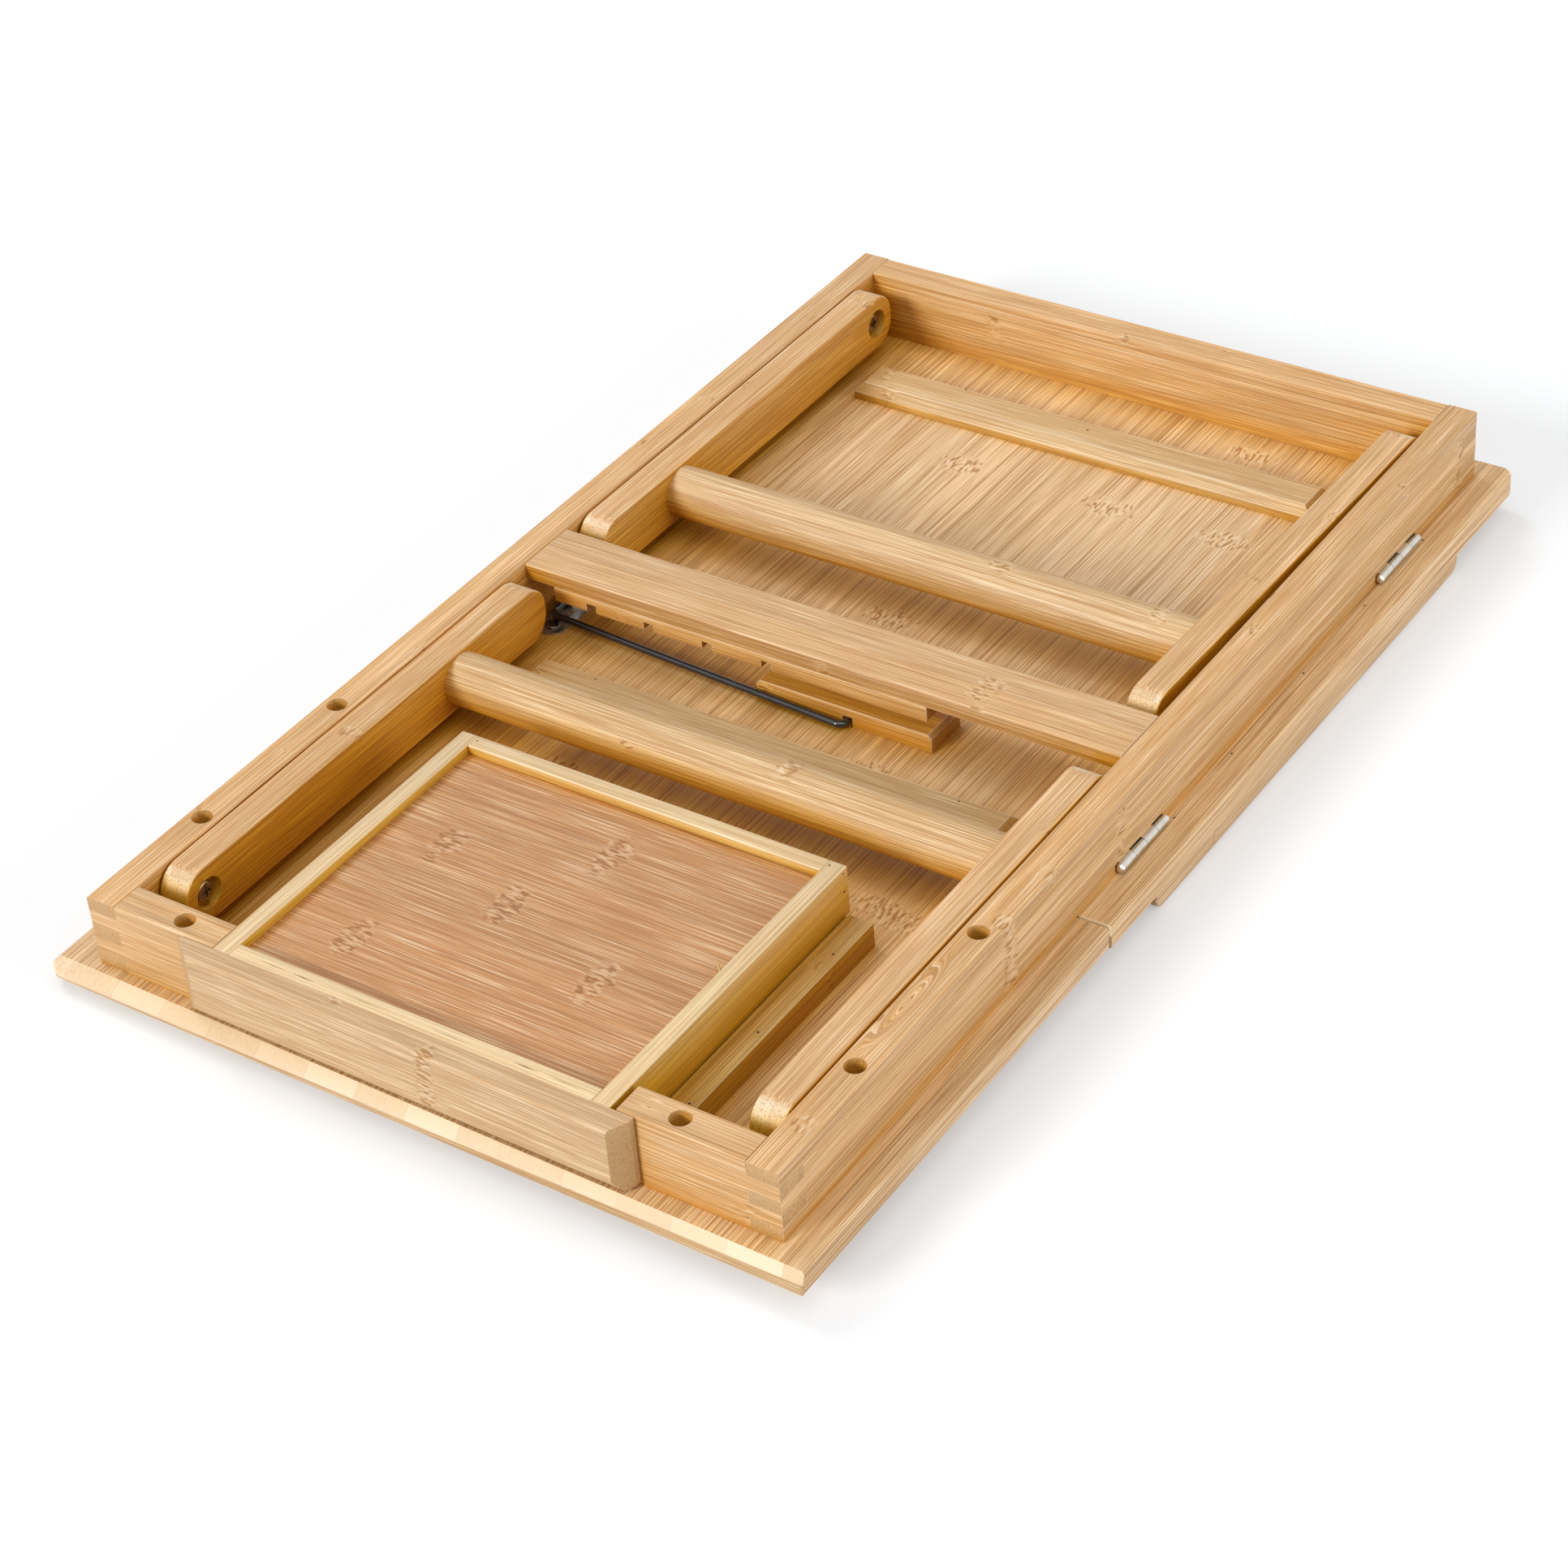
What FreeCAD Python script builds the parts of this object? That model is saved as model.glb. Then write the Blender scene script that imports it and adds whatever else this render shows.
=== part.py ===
import FreeCAD, Part
import math
import os

# Folding bamboo lap tray with a tilting reading panel, a side drawer and two pairs of folding legs.
# It is stored upside down: the tray face is below, and the frame, legs and drawer are above it.
# Shapes are drawn with x from the drawer end of the frame, y from the outer face of the hinge-side
# rail and z = 0 where the frame meets the panels. All sizes are millimetres.

Vector = FreeCAD.Vector

# Frame of rails with finger-jointed corners
frame_length = 480.0
frame_width = 274.0
frame_height = 28.0
long_rail_thickness = 12.0
end_rail_thickness = 12.8
finger_count = 5
rail_edge_round = 0.8
front_stub_length = 59.0
back_stub_length = 54.5

# Tray panels: a fixed one over the drawer and a tilting one
panel_thickness = 10.0
overhang_near = 9.2
overhang_far = 10.8
overhang_front = 12.2
overhang_back = 15.8
near_front_corner_round = 1.3
near_back_corner_round = 4.4
far_corner_round = 5.0
panel_underside_round = 1.6
fixed_panel_face_round = 3.0
tilting_panel_face_round = 1.2
panel_seam_rail_gap = 51.1
panel_seam_gap = 0.6
panel_seam_round = 0.9

# Near edge of the fixed panel: planed to a long taper, shallower at the back than at the front
near_bevel_front_width = 1.8
near_bevel_front_drop = 4.4
near_bevel_back_width = 5.3
near_bevel_back_drop = 1.9
near_face_front_width = 1.7
near_face_front_rise = 1.4
near_face_back_width = 6.3
near_face_back_rise = 5.1

# Ledge along the lower edge of the tilting panel, which keeps a book from sliding off
ledge_seam_gap = 33.2
ledge_far_gap = 47.3
ledge_height = 8.0
ledge_width = 12.0
ledge_inset = 1.2
ledge_end_round = 5.0
ledge_edge_round = 1.0

# Battens across the tilting panel
batten_width = 20.0
batten_height = 6.7
batten_chamfer = 3.3
batten_front_gap = 27.4
batten_back_gap = 19.6
near_batten_seam_gap = 12.2
far_batten_rail_gap = 27.7

# Centre rail with the notched rack under it, set a little past the middle of the frame
centre_rail_offset = 0.9
centre_rail_width = 26.4
centre_rail_thickness = 6.4
rack_width = 19.2
rack_height = 6.2
rack_length = 160.4
rack_back_gap = 12.4
notch_count = 4
notch_past_tip = 31.9
notch_pitch = 25.6
notch_width = 4.2
notch_depth = 3.3

# Stay: a bent wire that props the frame open on the rack, and the strip that keeps it when folded
wire_radius = 1.4
stay_pivot_gap = 5.0
stay_pivot_z = 4.2
stay_corner_inset = 5.2
stay_tip_outset = 1.2
stay_pivot_end_inset = 24.3
stay_reach = 132.5
stay_tip_drop = 1.7
stay_bend_radius = 3.5
stay_tip_bend_radius = 2.4
keeper_gap = 0.3
keeper_inset = 2.4
keeper_width = 19.2
keeper_height = 7.6
keeper_before_tip = 35.2
keeper_length = 73.9
keeper_bevel = 1.5
keeper_slot_width = 4.1
keeper_slot_height = 4.0
keeper_slot_depth = 9.0

# Sheet-steel bracket round the pivot of the stay
bracket_thickness = 0.8
bracket_end_radius = 5.9
bracket_centre_drop = 1.7
bracket_screw_inset = 3.5
bracket_screw_spacing = 21.0
bracket_saddle_inset = 15.5
bracket_saddle_length = 5.4
bracket_tab_inset = 8.9
bracket_tab_length = 5.4
bracket_tab_width = 4.4
bracket_tab_height = 2.6
bracket_screw_head_radius = 3.1
bracket_screw_head_height = 0.9
bracket_screw_length = 8.0
bracket_screw_radius = 1.4

# Pair of butt hinges between the front rail and the tilting panel
hinge_seam_gap = 27.0
hinge_far_inset = 52.0
hinge_length = 30.4
knuckle_count = 4
knuckle_radius = 1.75
knuckle_gap = 0.15
hinge_axis_y = -1.2
hinge_leaf_thickness = 0.9
hinge_leaf_reach = 9.0
hinge_clearance = 0.3
mortise_clearance = 0.2
hinge_pin_radius = 0.95
hinge_pin_head_radius = 1.85
hinge_pin_head_length = 1.7
hinge_screw_inset = 7.0
hinge_screw_y = 5.6
hinge_screw_radius = 1.1
hinge_screw_head_radius = 1.9
hinge_screw_length = 8.0

# Folding legs, in two pairs that each share a dowel
leg_rail_gap = 5.2
leg_width = 22.0
leg_thickness = 12.0
leg_corner_round = 9.8
leg_edge_round = 0.7
leg_end_inset = 20.1
leg_pivot_inset = 11.0
leg_side_gap = 0.8
far_front_leg_gap = 1.0
far_front_leg_skew = 1.0
dowel_radius = 10.0
dowel_inset = 51.0
tenon_radius = 5.0
tenon_length = 8.5

# Pivot screws of the legs
pivot_radius = 2.5
pivot_head_radius = 4.0
pivot_head_height = 2.6
pivot_recess_radius = 6.0
pivot_recess_depth = 4.2
pivot_rail_depth = 9.0
spacer_radius = 6.0

# Drawer
drawer_gap_front = 2.3
drawer_gap_back = 0.25
drawer_depth = 134.2
drawer_top_drop = 0.1
drawer_bottom_gap = 2.4
drawer_side_thickness = 6.7
drawer_end_thickness = 6.2
drawer_face_gap = 0.3
drawer_face_front_thickness = 9.7
drawer_face_back_thickness = 8.1
drawer_face_end_flat = 2.2
drawer_face_front_overlap = 9.1
drawer_face_back_overlap = 13.0
drawer_face_front_slant = 3.9
drawer_face_back_slant = 8.2
drawer_face_bottom_gap = 1.6
drawer_face_pull_height = 5.4
drawer_face_pull_depth = 3.8
drawer_face_edge_round = 1.4
drawer_bottom_thickness = 3.5
drawer_bottom_recess = 3.9
drawer_bottom_tongue = 3.0

# Runners beside the drawer, with a tongue that the drawer sides slide on
runner_back_inset = 2.3
runner_length = 117.6
runner_width = 9.8
runner_height = 9.6
runner_gap = 0.8
runner_tongue_height = 3.4
runner_tongue_z = 4.9
runner_tongue_reach = 2.3
runner_groove_clearance = 0.3

# Screws that hold the fixed panel to the frame, sunk in counterbores
panel_screw_x = (52.0, 125.0)
front_stub_screw_inset = 39.5
back_stub_screw_inset = 37.5
counterbore_radius = 3.75
counterbore_depth = 14.0
panel_screw_radius = 1.8
panel_screw_head_radius = 3.3
panel_screw_head_height = 2.2
panel_screw_bite = 7.0

# Clearance round a shaft that turns, round a glued or screwed one, and beside a turning face
running_clearance = 0.06
seated_clearance = 0.03
turning_face_gap = 0.1

# Places worked out from the sizes
back_inner_y = frame_width - long_rail_thickness
far_inner_x = frame_length - end_rail_thickness
centre_rail_x = frame_length / 2 + centre_rail_offset - centre_rail_width / 2
panel_seam_x = centre_rail_x - panel_seam_rail_gap
ledge_start = panel_seam_x + ledge_seam_gap
ledge_end = frame_length + overhang_far - ledge_far_gap
near_batten_x = panel_seam_x + near_batten_seam_gap
far_batten_x = far_inner_x - far_batten_rail_gap - batten_width
rack_end = back_inner_y - rack_back_gap
rack_start = rack_end - rack_length
stay_pivot_y = back_inner_y - stay_pivot_gap
stay_corner_x = centre_rail_x + stay_corner_inset
stay_tip_x = centre_rail_x - stay_tip_outset
stay_pivot_end_x = centre_rail_x + stay_pivot_end_inset
stay_tip_y = stay_pivot_y - stay_reach
stay_tip_z = stay_pivot_z - stay_tip_drop
notch_first = stay_tip_y + notch_past_tip
keeper_x = centre_rail_x + keeper_inset
keeper_start = stay_tip_y - keeper_before_tip
bracket_centre_y = stay_pivot_y - bracket_centre_drop
bracket_screw_x = centre_rail_x + bracket_screw_inset
bracket_saddle_start = centre_rail_x + bracket_saddle_inset
bracket_tab_start = centre_rail_x + bracket_tab_inset
hinge_starts = {
    "near": panel_seam_x + hinge_seam_gap,
    "far": frame_length - hinge_far_inset - hinge_length,
}
hinge_axis_z = knuckle_radius + hinge_clearance
hinge_bore_radius = hinge_pin_radius + running_clearance
leg_middle_z = frame_height - leg_width / 2
leg_tip_gap = centre_rail_width + 2 * leg_rail_gap
leg_length = (frame_length - leg_tip_gap) / 2 - leg_end_inset
rack_top = frame_height - centre_rail_thickness
rack_bottom = rack_top - rack_height
drawer_front_y = front_stub_length + drawer_gap_front
drawer_back_y = frame_width - back_stub_length - drawer_gap_back
drawer_top = frame_height - drawer_top_drop
drawer_start = -drawer_face_gap
drawer_end = drawer_start + drawer_depth
drawer_panel_top = drawer_top - drawer_bottom_recess
drawer_panel_bottom = drawer_panel_top - drawer_bottom_thickness

nodes = {}


# Plain solids between two limits on each axis
def block(x_range, y_range, z_range):
    size = [limits[1] - limits[0] for limits in (x_range, y_range, z_range)]
    return Part.makeBox(size[0], size[1], size[2], Vector(x_range[0], y_range[0], z_range[0]))


def rod_x(x_range, y, z, radius):
    return Part.makeCylinder(radius, x_range[1] - x_range[0], Vector(x_range[0], y, z), Vector(1, 0, 0))


def rod_y(x, y_range, z, radius):
    return Part.makeCylinder(radius, y_range[1] - y_range[0], Vector(x, y_range[0], z), Vector(0, 1, 0))


def rod_z(x, y, z_range, radius):
    return Part.makeCylinder(radius, z_range[1] - z_range[0], Vector(x, y, z_range[0]))


def lies_on(edge, axis, value):
    box = edge.BoundBox
    low = getattr(box, axis + "Min")
    high = getattr(box, axis + "Max")
    return abs(low - value) < 1e-3 and abs(high - value) < 1e-3


def runs_along(edge, axis):
    box = edge.BoundBox
    spans = {"X": box.XLength, "Y": box.YLength, "Z": box.ZLength}
    own = spans.pop(axis)
    return own > 1e-3 and max(spans.values()) < 1e-3


def rounded(shape, radius, wanted):
    return shape.makeFillet(radius, [edge for edge in shape.Edges if wanted(edge)])


def turned(profile_points, base, axis):
    outline = Part.makePolygon([Vector(r, 0, h) for r, h in profile_points + profile_points[:1]])
    solid = Part.Face(outline).revolve(Vector(0, 0, 0), Vector(0, 0, 1), 360)
    turn = FreeCAD.Rotation(Vector(0, 0, 1), axis)
    solid.Placement = FreeCAD.Placement(base, turn)
    return solid


# Wedge between two outlines in x and z, one past each end of a range in y
def tapered_wedge(y_range, past_end, front_outline, back_outline):
    wires = []
    length = y_range[1] - y_range[0]
    for share, y in ((-past_end / length, y_range[0] - past_end), (1 + past_end / length, y_range[1] + past_end)):
        corners = []
        for (front_x, front_z), (back_x, back_z) in zip(front_outline, back_outline):
            corners.append(Vector(front_x + share * (back_x - front_x), y, front_z + share * (back_z - front_z)))
        wires.append(Part.makePolygon(corners + corners[:1]))
    return Part.makeLoft(wires, True, True)


# Cross-slotted screw. It is seated at a point, and its axis points out of the material.
def screw(seat, axis, head_radius, head_height, shank_radius, length, crown=0.3):
    head = Part.makeCylinder(head_radius, head_height)
    edge_round = head_height * crown
    head = rounded(head, edge_round, lambda edge: lies_on(edge, "Z", head_height))
    slot_length = head_radius * 1.1
    slot_width = head_radius * 0.24
    slot_bottom = head_height * 0.5
    for size in ((slot_length, slot_width), (slot_width, slot_length)):
        half = (size[0] / 2, size[1] / 2)
        head = head.cut(block((-half[0], half[0]), (-half[1], half[1]), (slot_bottom, head_height)))
    whole = head.fuse(Part.makeCylinder(shank_radius, length, Vector(0, 0, -length)))
    whole = whole.removeSplitter()
    whole.Placement = FreeCAD.Placement(seat, FreeCAD.Rotation(Vector(0, 0, 1), axis))
    return whole


# Countersunk screw, flush with the face that it holds
def flat_screw(seat, axis, head_radius, shank_radius, length):
    cone = head_radius - shank_radius
    points = [(0, 0), (head_radius, 0), (shank_radius, -cone), (shank_radius, -length), (0, -length)]
    return turned(points, seat, axis)


# Long rails: every second finger at the corners belongs to the end rails
finger_height = frame_height / finger_count


def finger_slots(x_range, y_range):
    slots = []
    for index in range(1, finger_count, 2):
        top = frame_height - index * finger_height
        slots.append(block(x_range, y_range, (top - finger_height, top)))
    return slots


def long_rail(y_range):
    rail = block((0, frame_length), y_range, (0, frame_height))
    rail = rounded(rail, rail_edge_round, lambda e: runs_along(e, "X") and lies_on(e, "Z", frame_height))
    for x_range in ((0, end_rail_thickness), (far_inner_x, frame_length)):
        for slot in finger_slots(x_range, y_range):
            rail = rail.cut(slot)
    return rail


def end_rail(x_range, y_range):
    rail = block(x_range, y_range, (0, frame_height))
    rail = rounded(rail, rail_edge_round, lambda e: runs_along(e, "Y") and lies_on(e, "Z", frame_height))
    return rail


def through_long_rails(rail):
    kept = rail.common(block((0, frame_length), (long_rail_thickness, back_inner_y), (0, frame_height)))
    for y_range in ((0, long_rail_thickness), (back_inner_y, frame_width)):
        for slot in finger_slots((0, frame_length), y_range):
            kept = kept.fuse(rail.common(slot))
    return kept.removeSplitter()


near_x_range = (0, end_rail_thickness)
far_x_range = (far_inner_x, frame_length)
front_rail = long_rail((0, long_rail_thickness))
back_rail = long_rail((back_inner_y, frame_width))
far_rail = through_long_rails(end_rail(far_x_range, (0, frame_width)))
front_stub = through_long_rails(end_rail(near_x_range, (0, front_stub_length)))
back_stub = through_long_rails(end_rail(near_x_range, (frame_width - back_stub_length, frame_width)))

# Panel screws: two in each long rail and one in each stub
front_middle_y = long_rail_thickness / 2
back_middle_y = frame_width - long_rail_thickness / 2
stub_middle_x = end_rail_thickness / 2
panel_screw_points = {
    "front_a": (panel_screw_x[0], front_middle_y),
    "front_b": (panel_screw_x[1], front_middle_y),
    "back_a": (panel_screw_x[0], back_middle_y),
    "back_b": (panel_screw_x[1], back_middle_y),
    "stub_front": (stub_middle_x, front_stub_screw_inset),
    "stub_back": (stub_middle_x, frame_width - back_stub_screw_inset),
}
panel_screw_seat = frame_height - counterbore_depth
panel_screw_holes = {}
for name, (x, y) in panel_screw_points.items():
    bore = rod_z(x, y, (panel_screw_seat, frame_height), counterbore_radius)
    shank = rod_z(x, y, (-panel_screw_bite - 1, frame_height), panel_screw_radius + seated_clearance)
    panel_screw_holes[name] = bore.fuse(shank)
    screw_length = panel_screw_seat + panel_screw_bite
    nodes["panel_screw_" + name] = screw(
        Vector(x, y, panel_screw_seat), Vector(0, 0, 1),
        panel_screw_head_radius, panel_screw_head_height, panel_screw_radius, screw_length)

front_rail = front_rail.cut(panel_screw_holes["front_a"]).cut(panel_screw_holes["front_b"])
back_rail = back_rail.cut(panel_screw_holes["back_a"]).cut(panel_screw_holes["back_b"])
nodes["near_stub_front"] = front_stub.cut(panel_screw_holes["stub_front"])
nodes["near_stub_back"] = back_stub.cut(panel_screw_holes["stub_back"])
nodes["far_rail"] = far_rail

# Tray panels: two boards of one thickness that meet at the seam
slab_x = (-overhang_near, frame_length + overhang_far)
slab_y = (-overhang_front, frame_width + overhang_back)
slab_z = (-panel_thickness, 0)
face_z = slab_z[0]
fixed_end = panel_seam_x - panel_seam_gap / 2
tilting_start = panel_seam_x + panel_seam_gap / 2

tilting_panel = block((tilting_start, slab_x[1]), slab_y, slab_z)
tilting_panel = rounded(
    tilting_panel, far_corner_round, lambda e: runs_along(e, "Z") and lies_on(e, "X", slab_x[1]))
for z, radius in ((0, panel_underside_round), (face_z, tilting_panel_face_round)):
    tilting_panel = rounded(
        tilting_panel, radius, lambda e: lies_on(e, "Z", z) and not lies_on(e, "X", tilting_start))
tilting_panel = rounded(tilting_panel, panel_seam_round, lambda e: lies_on(e, "X", tilting_start))

fixed_panel = block((slab_x[0], fixed_end), slab_y, slab_z)
for z, radius in ((0, panel_underside_round), (face_z, fixed_panel_face_round)):
    fixed_panel = rounded(fixed_panel, radius, lambda e: runs_along(e, "X") and lies_on(e, "Z", z))
fixed_panel = rounded(fixed_panel, panel_seam_round, lambda e: lies_on(e, "X", fixed_end))
near_x = slab_x[0]
past = 3.0
near_corners = ((slab_y[0], 1, near_front_corner_round), (slab_y[1], -1, near_back_corner_round))
for corner_y, inward, radius in near_corners:
    centre_y = corner_y + inward * radius
    outside_y = corner_y - inward * past
    waste = block(
        (near_x - past, near_x + radius), (min(centre_y, outside_y), max(centre_y, outside_y)),
        (face_z - past, past))
    waste = waste.cut(rod_z(near_x + radius, centre_y, (face_z - past, past), radius))
    fixed_panel = fixed_panel.cut(waste)


# Waste beyond a slanting line that leaves a face at (x, z) and meets the near edge further on
def edge_waste(width, height, z, towards):
    depth = (width + past) * height / width
    return [(near_x + width, z), (near_x - past, z + towards * depth), (near_x - past, z - towards * past)]


fixed_panel = fixed_panel.cut(tapered_wedge(
    slab_y, past,
    edge_waste(near_bevel_front_width, near_bevel_front_drop, 0, -1),
    edge_waste(near_bevel_back_width, near_bevel_back_drop, 0, -1)))
fixed_panel = fixed_panel.cut(tapered_wedge(
    slab_y, past,
    edge_waste(near_face_front_width, near_face_front_rise, face_z, 1),
    edge_waste(near_face_back_width, near_face_back_rise, face_z, 1)))
for hole in panel_screw_holes.values():
    fixed_panel = fixed_panel.cut(hole)
nodes["fixed_panel"] = fixed_panel

# Book ledge on the tray face
ledge_y = -overhang_front + ledge_inset
ledge_z = (-panel_thickness - ledge_height, -panel_thickness)
ledge = block((ledge_start, ledge_end), (ledge_y, ledge_y + ledge_width), ledge_z)
ledge = rounded(ledge, ledge_end_round, lambda e: runs_along(e, "Y") and lies_on(e, "Z", ledge_z[0]))
ledge = rounded(ledge, ledge_edge_round, lambda e: runs_along(e, "X") and lies_on(e, "Z", ledge_z[0]))
nodes["book_ledge"] = ledge


# Battens with their upper edges and ends bevelled
def batten(x_start):
    y_range = (long_rail_thickness + batten_front_gap, back_inner_y - batten_back_gap)
    body = block((x_start, x_start + batten_width), y_range, (0, batten_height))
    return body.makeChamfer(batten_chamfer, [e for e in body.Edges if lies_on(e, "Z", batten_height)])


nodes["near_batten"] = batten(near_batten_x)
nodes["far_batten"] = batten(far_batten_x)

# Centre rail and rack
centre_rail = block(
    (centre_rail_x, centre_rail_x + centre_rail_width),
    (long_rail_thickness, back_inner_y), (rack_top, frame_height))
nodes["centre_rail"] = rounded(
    centre_rail, rail_edge_round, lambda e: runs_along(e, "Y") and lies_on(e, "Z", frame_height))

rack_x = (centre_rail_x, centre_rail_x + rack_width)
rack = block(rack_x, (rack_start, rack_end), (rack_bottom, rack_top))
for index in range(notch_count):
    middle = notch_first + index * notch_pitch
    y_range = (middle - notch_width / 2, middle + notch_width / 2)
    rack = rack.cut(block(rack_x, y_range, (rack_bottom, rack_bottom + notch_depth)))
nodes["notched_rack"] = rack

# Keeper strip: the folded stay lies beside it, with its tip at the mouth of the slot
keeper_y = (keeper_start, keeper_start + keeper_length)
keeper = block((keeper_x, keeper_x + keeper_width), keeper_y, (0, keeper_height))
keeper = keeper.makeChamfer(
    keeper_bevel, [e for e in keeper.Edges if runs_along(e, "X") and lies_on(e, "Z", keeper_height)])
slot_y = (stay_tip_y - keeper_slot_width / 2, stay_tip_y + keeper_slot_width / 2)
keeper = keeper.cut(block((keeper_x, keeper_x + keeper_slot_depth), slot_y, (0, keeper_slot_height)))
nodes["stay_keeper"] = keeper


# Stay wire: straight runs joined by tangent arcs
def bent_path(points, radii):
    edges = []
    last = points[0]
    for corner, following, radius in zip(points[1:-1], points[2:], radii):
        back = (last - corner).normalize()
        ahead = (following - corner).normalize()
        half_turn = (math.pi - back.getAngle(ahead)) / 2
        reach = radius * math.tan(half_turn)
        start = corner + back * reach
        end = corner + ahead * reach
        inward = (back + ahead).normalize()
        centre = corner + inward * (radius / math.cos(half_turn))
        middle = centre - inward * radius
        edges.append(Part.makeLine(last, start))
        edges.append(Part.Arc(start, middle, end).toShape())
        last = end
    edges.append(Part.makeLine(last, points[-1]))
    return Part.Wire(edges)


keeper_side = keeper_x - keeper_gap
stay_points = [
    Vector(stay_pivot_end_x, stay_pivot_y, stay_pivot_z),
    Vector(stay_corner_x, stay_pivot_y, stay_pivot_z),
    Vector(stay_tip_x, stay_tip_y, stay_tip_z),
    Vector(keeper_side, stay_tip_y, stay_tip_z),
]
stay_path = bent_path(stay_points, (stay_bend_radius, stay_tip_bend_radius))
stay_section = Part.Wire(Part.makeCircle(wire_radius, stay_points[0], Vector(-1, 0, 0)))
nodes["stay_wire"] = stay_path.makePipeShell([stay_section], True, False)

# Bracket: a plate with round ends, a saddle over the stay's pivot and a raised tab beside it
bracket_far_x = bracket_screw_x + bracket_screw_spacing
plate = block(
    (bracket_screw_x, bracket_far_x),
    (bracket_centre_y - bracket_end_radius, bracket_centre_y + bracket_end_radius),
    (0, bracket_thickness))
for x in (bracket_screw_x, bracket_far_x):
    plate = plate.fuse(rod_z(x, bracket_centre_y, (0, bracket_thickness), bracket_end_radius))

saddle_x = (bracket_saddle_start, bracket_saddle_start + bracket_saddle_length)
saddle_bore = wire_radius + running_clearance
saddle_outer = saddle_bore + bracket_thickness
saddle = block(saddle_x, (stay_pivot_y - saddle_outer, stay_pivot_y + saddle_outer), (0, stay_pivot_z))
saddle = saddle.fuse(rod_x(saddle_x, stay_pivot_y, stay_pivot_z, saddle_outer))
saddle = saddle.cut(block(
    saddle_x, (stay_pivot_y - saddle_bore, stay_pivot_y + saddle_bore),
    (bracket_thickness, stay_pivot_z)))
saddle = saddle.cut(rod_x(saddle_x, stay_pivot_y, stay_pivot_z, saddle_bore))

tab_x = (bracket_tab_start, bracket_tab_start + bracket_tab_length)
tab_end = stay_pivot_y - wire_radius - keeper_gap
tab_y = (tab_end - bracket_tab_width, tab_end)
tab = block(tab_x, tab_y, (0, bracket_tab_height))
tab = tab.cut(block(
    tab_x, (tab_y[0] + bracket_thickness, tab_y[1]),
    (bracket_thickness, bracket_tab_height - bracket_thickness)))
bracket = plate.fuse([saddle, tab]).removeSplitter()

bracket_screw_points = {"near": bracket_screw_x, "far": bracket_far_x}
for name, x in bracket_screw_points.items():
    hole = rod_z(
        x, bracket_centre_y, (-bracket_screw_length - 1, bracket_thickness),
        bracket_screw_radius + seated_clearance)
    bracket = bracket.cut(hole)
    tilting_panel = tilting_panel.cut(hole)
    nodes["bracket_screw_" + name] = screw(
        Vector(x, bracket_centre_y, bracket_thickness), Vector(0, 0, 1),
        bracket_screw_head_radius, bracket_screw_head_height, bracket_screw_radius,
        bracket_screw_length, 0.8)
nodes["stay_bracket"] = bracket

# Hinges: each leaf has a flat plate and its share of the knuckles
knuckle_pitch = hinge_length / knuckle_count


def knuckle_range(x_start, index):
    start = x_start + index * knuckle_pitch
    low = start + (knuckle_gap / 2 if index > 0 else 0)
    high = start + knuckle_pitch - (knuckle_gap / 2 if index < knuckle_count - 1 else 0)
    return (low, high)


def hinge_leaf(x_start, z_range, first_knuckle):
    plate_start = hinge_axis_y + knuckle_radius + hinge_clearance
    leaf = block((x_start, x_start + hinge_length), (plate_start, hinge_leaf_reach), z_range)
    for index in range(first_knuckle, knuckle_count, 2):
        x_range = knuckle_range(x_start, index)
        foot = block(x_range, (hinge_axis_y, plate_start), z_range)
        leaf = leaf.fuse([foot, rod_x(x_range, hinge_axis_y, hinge_axis_z, knuckle_radius)])
    full_range = (x_start - 1, x_start + hinge_length + 1)
    return leaf.cut(rod_x(full_range, hinge_axis_y, hinge_axis_z, hinge_bore_radius)).removeSplitter()


def hinge_pin(x_start):
    shaft = rod_x((x_start, x_start + hinge_length), hinge_axis_y, hinge_axis_z, hinge_pin_radius)
    head_range = (x_start - hinge_pin_head_length, x_start)
    head = rod_x(head_range, hinge_axis_y, hinge_axis_z, hinge_pin_head_radius)
    head = rounded(head, hinge_pin_head_length * 0.8, lambda edge: lies_on(edge, "X", head_range[0]))
    return shaft.fuse(head).removeSplitter()


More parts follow.
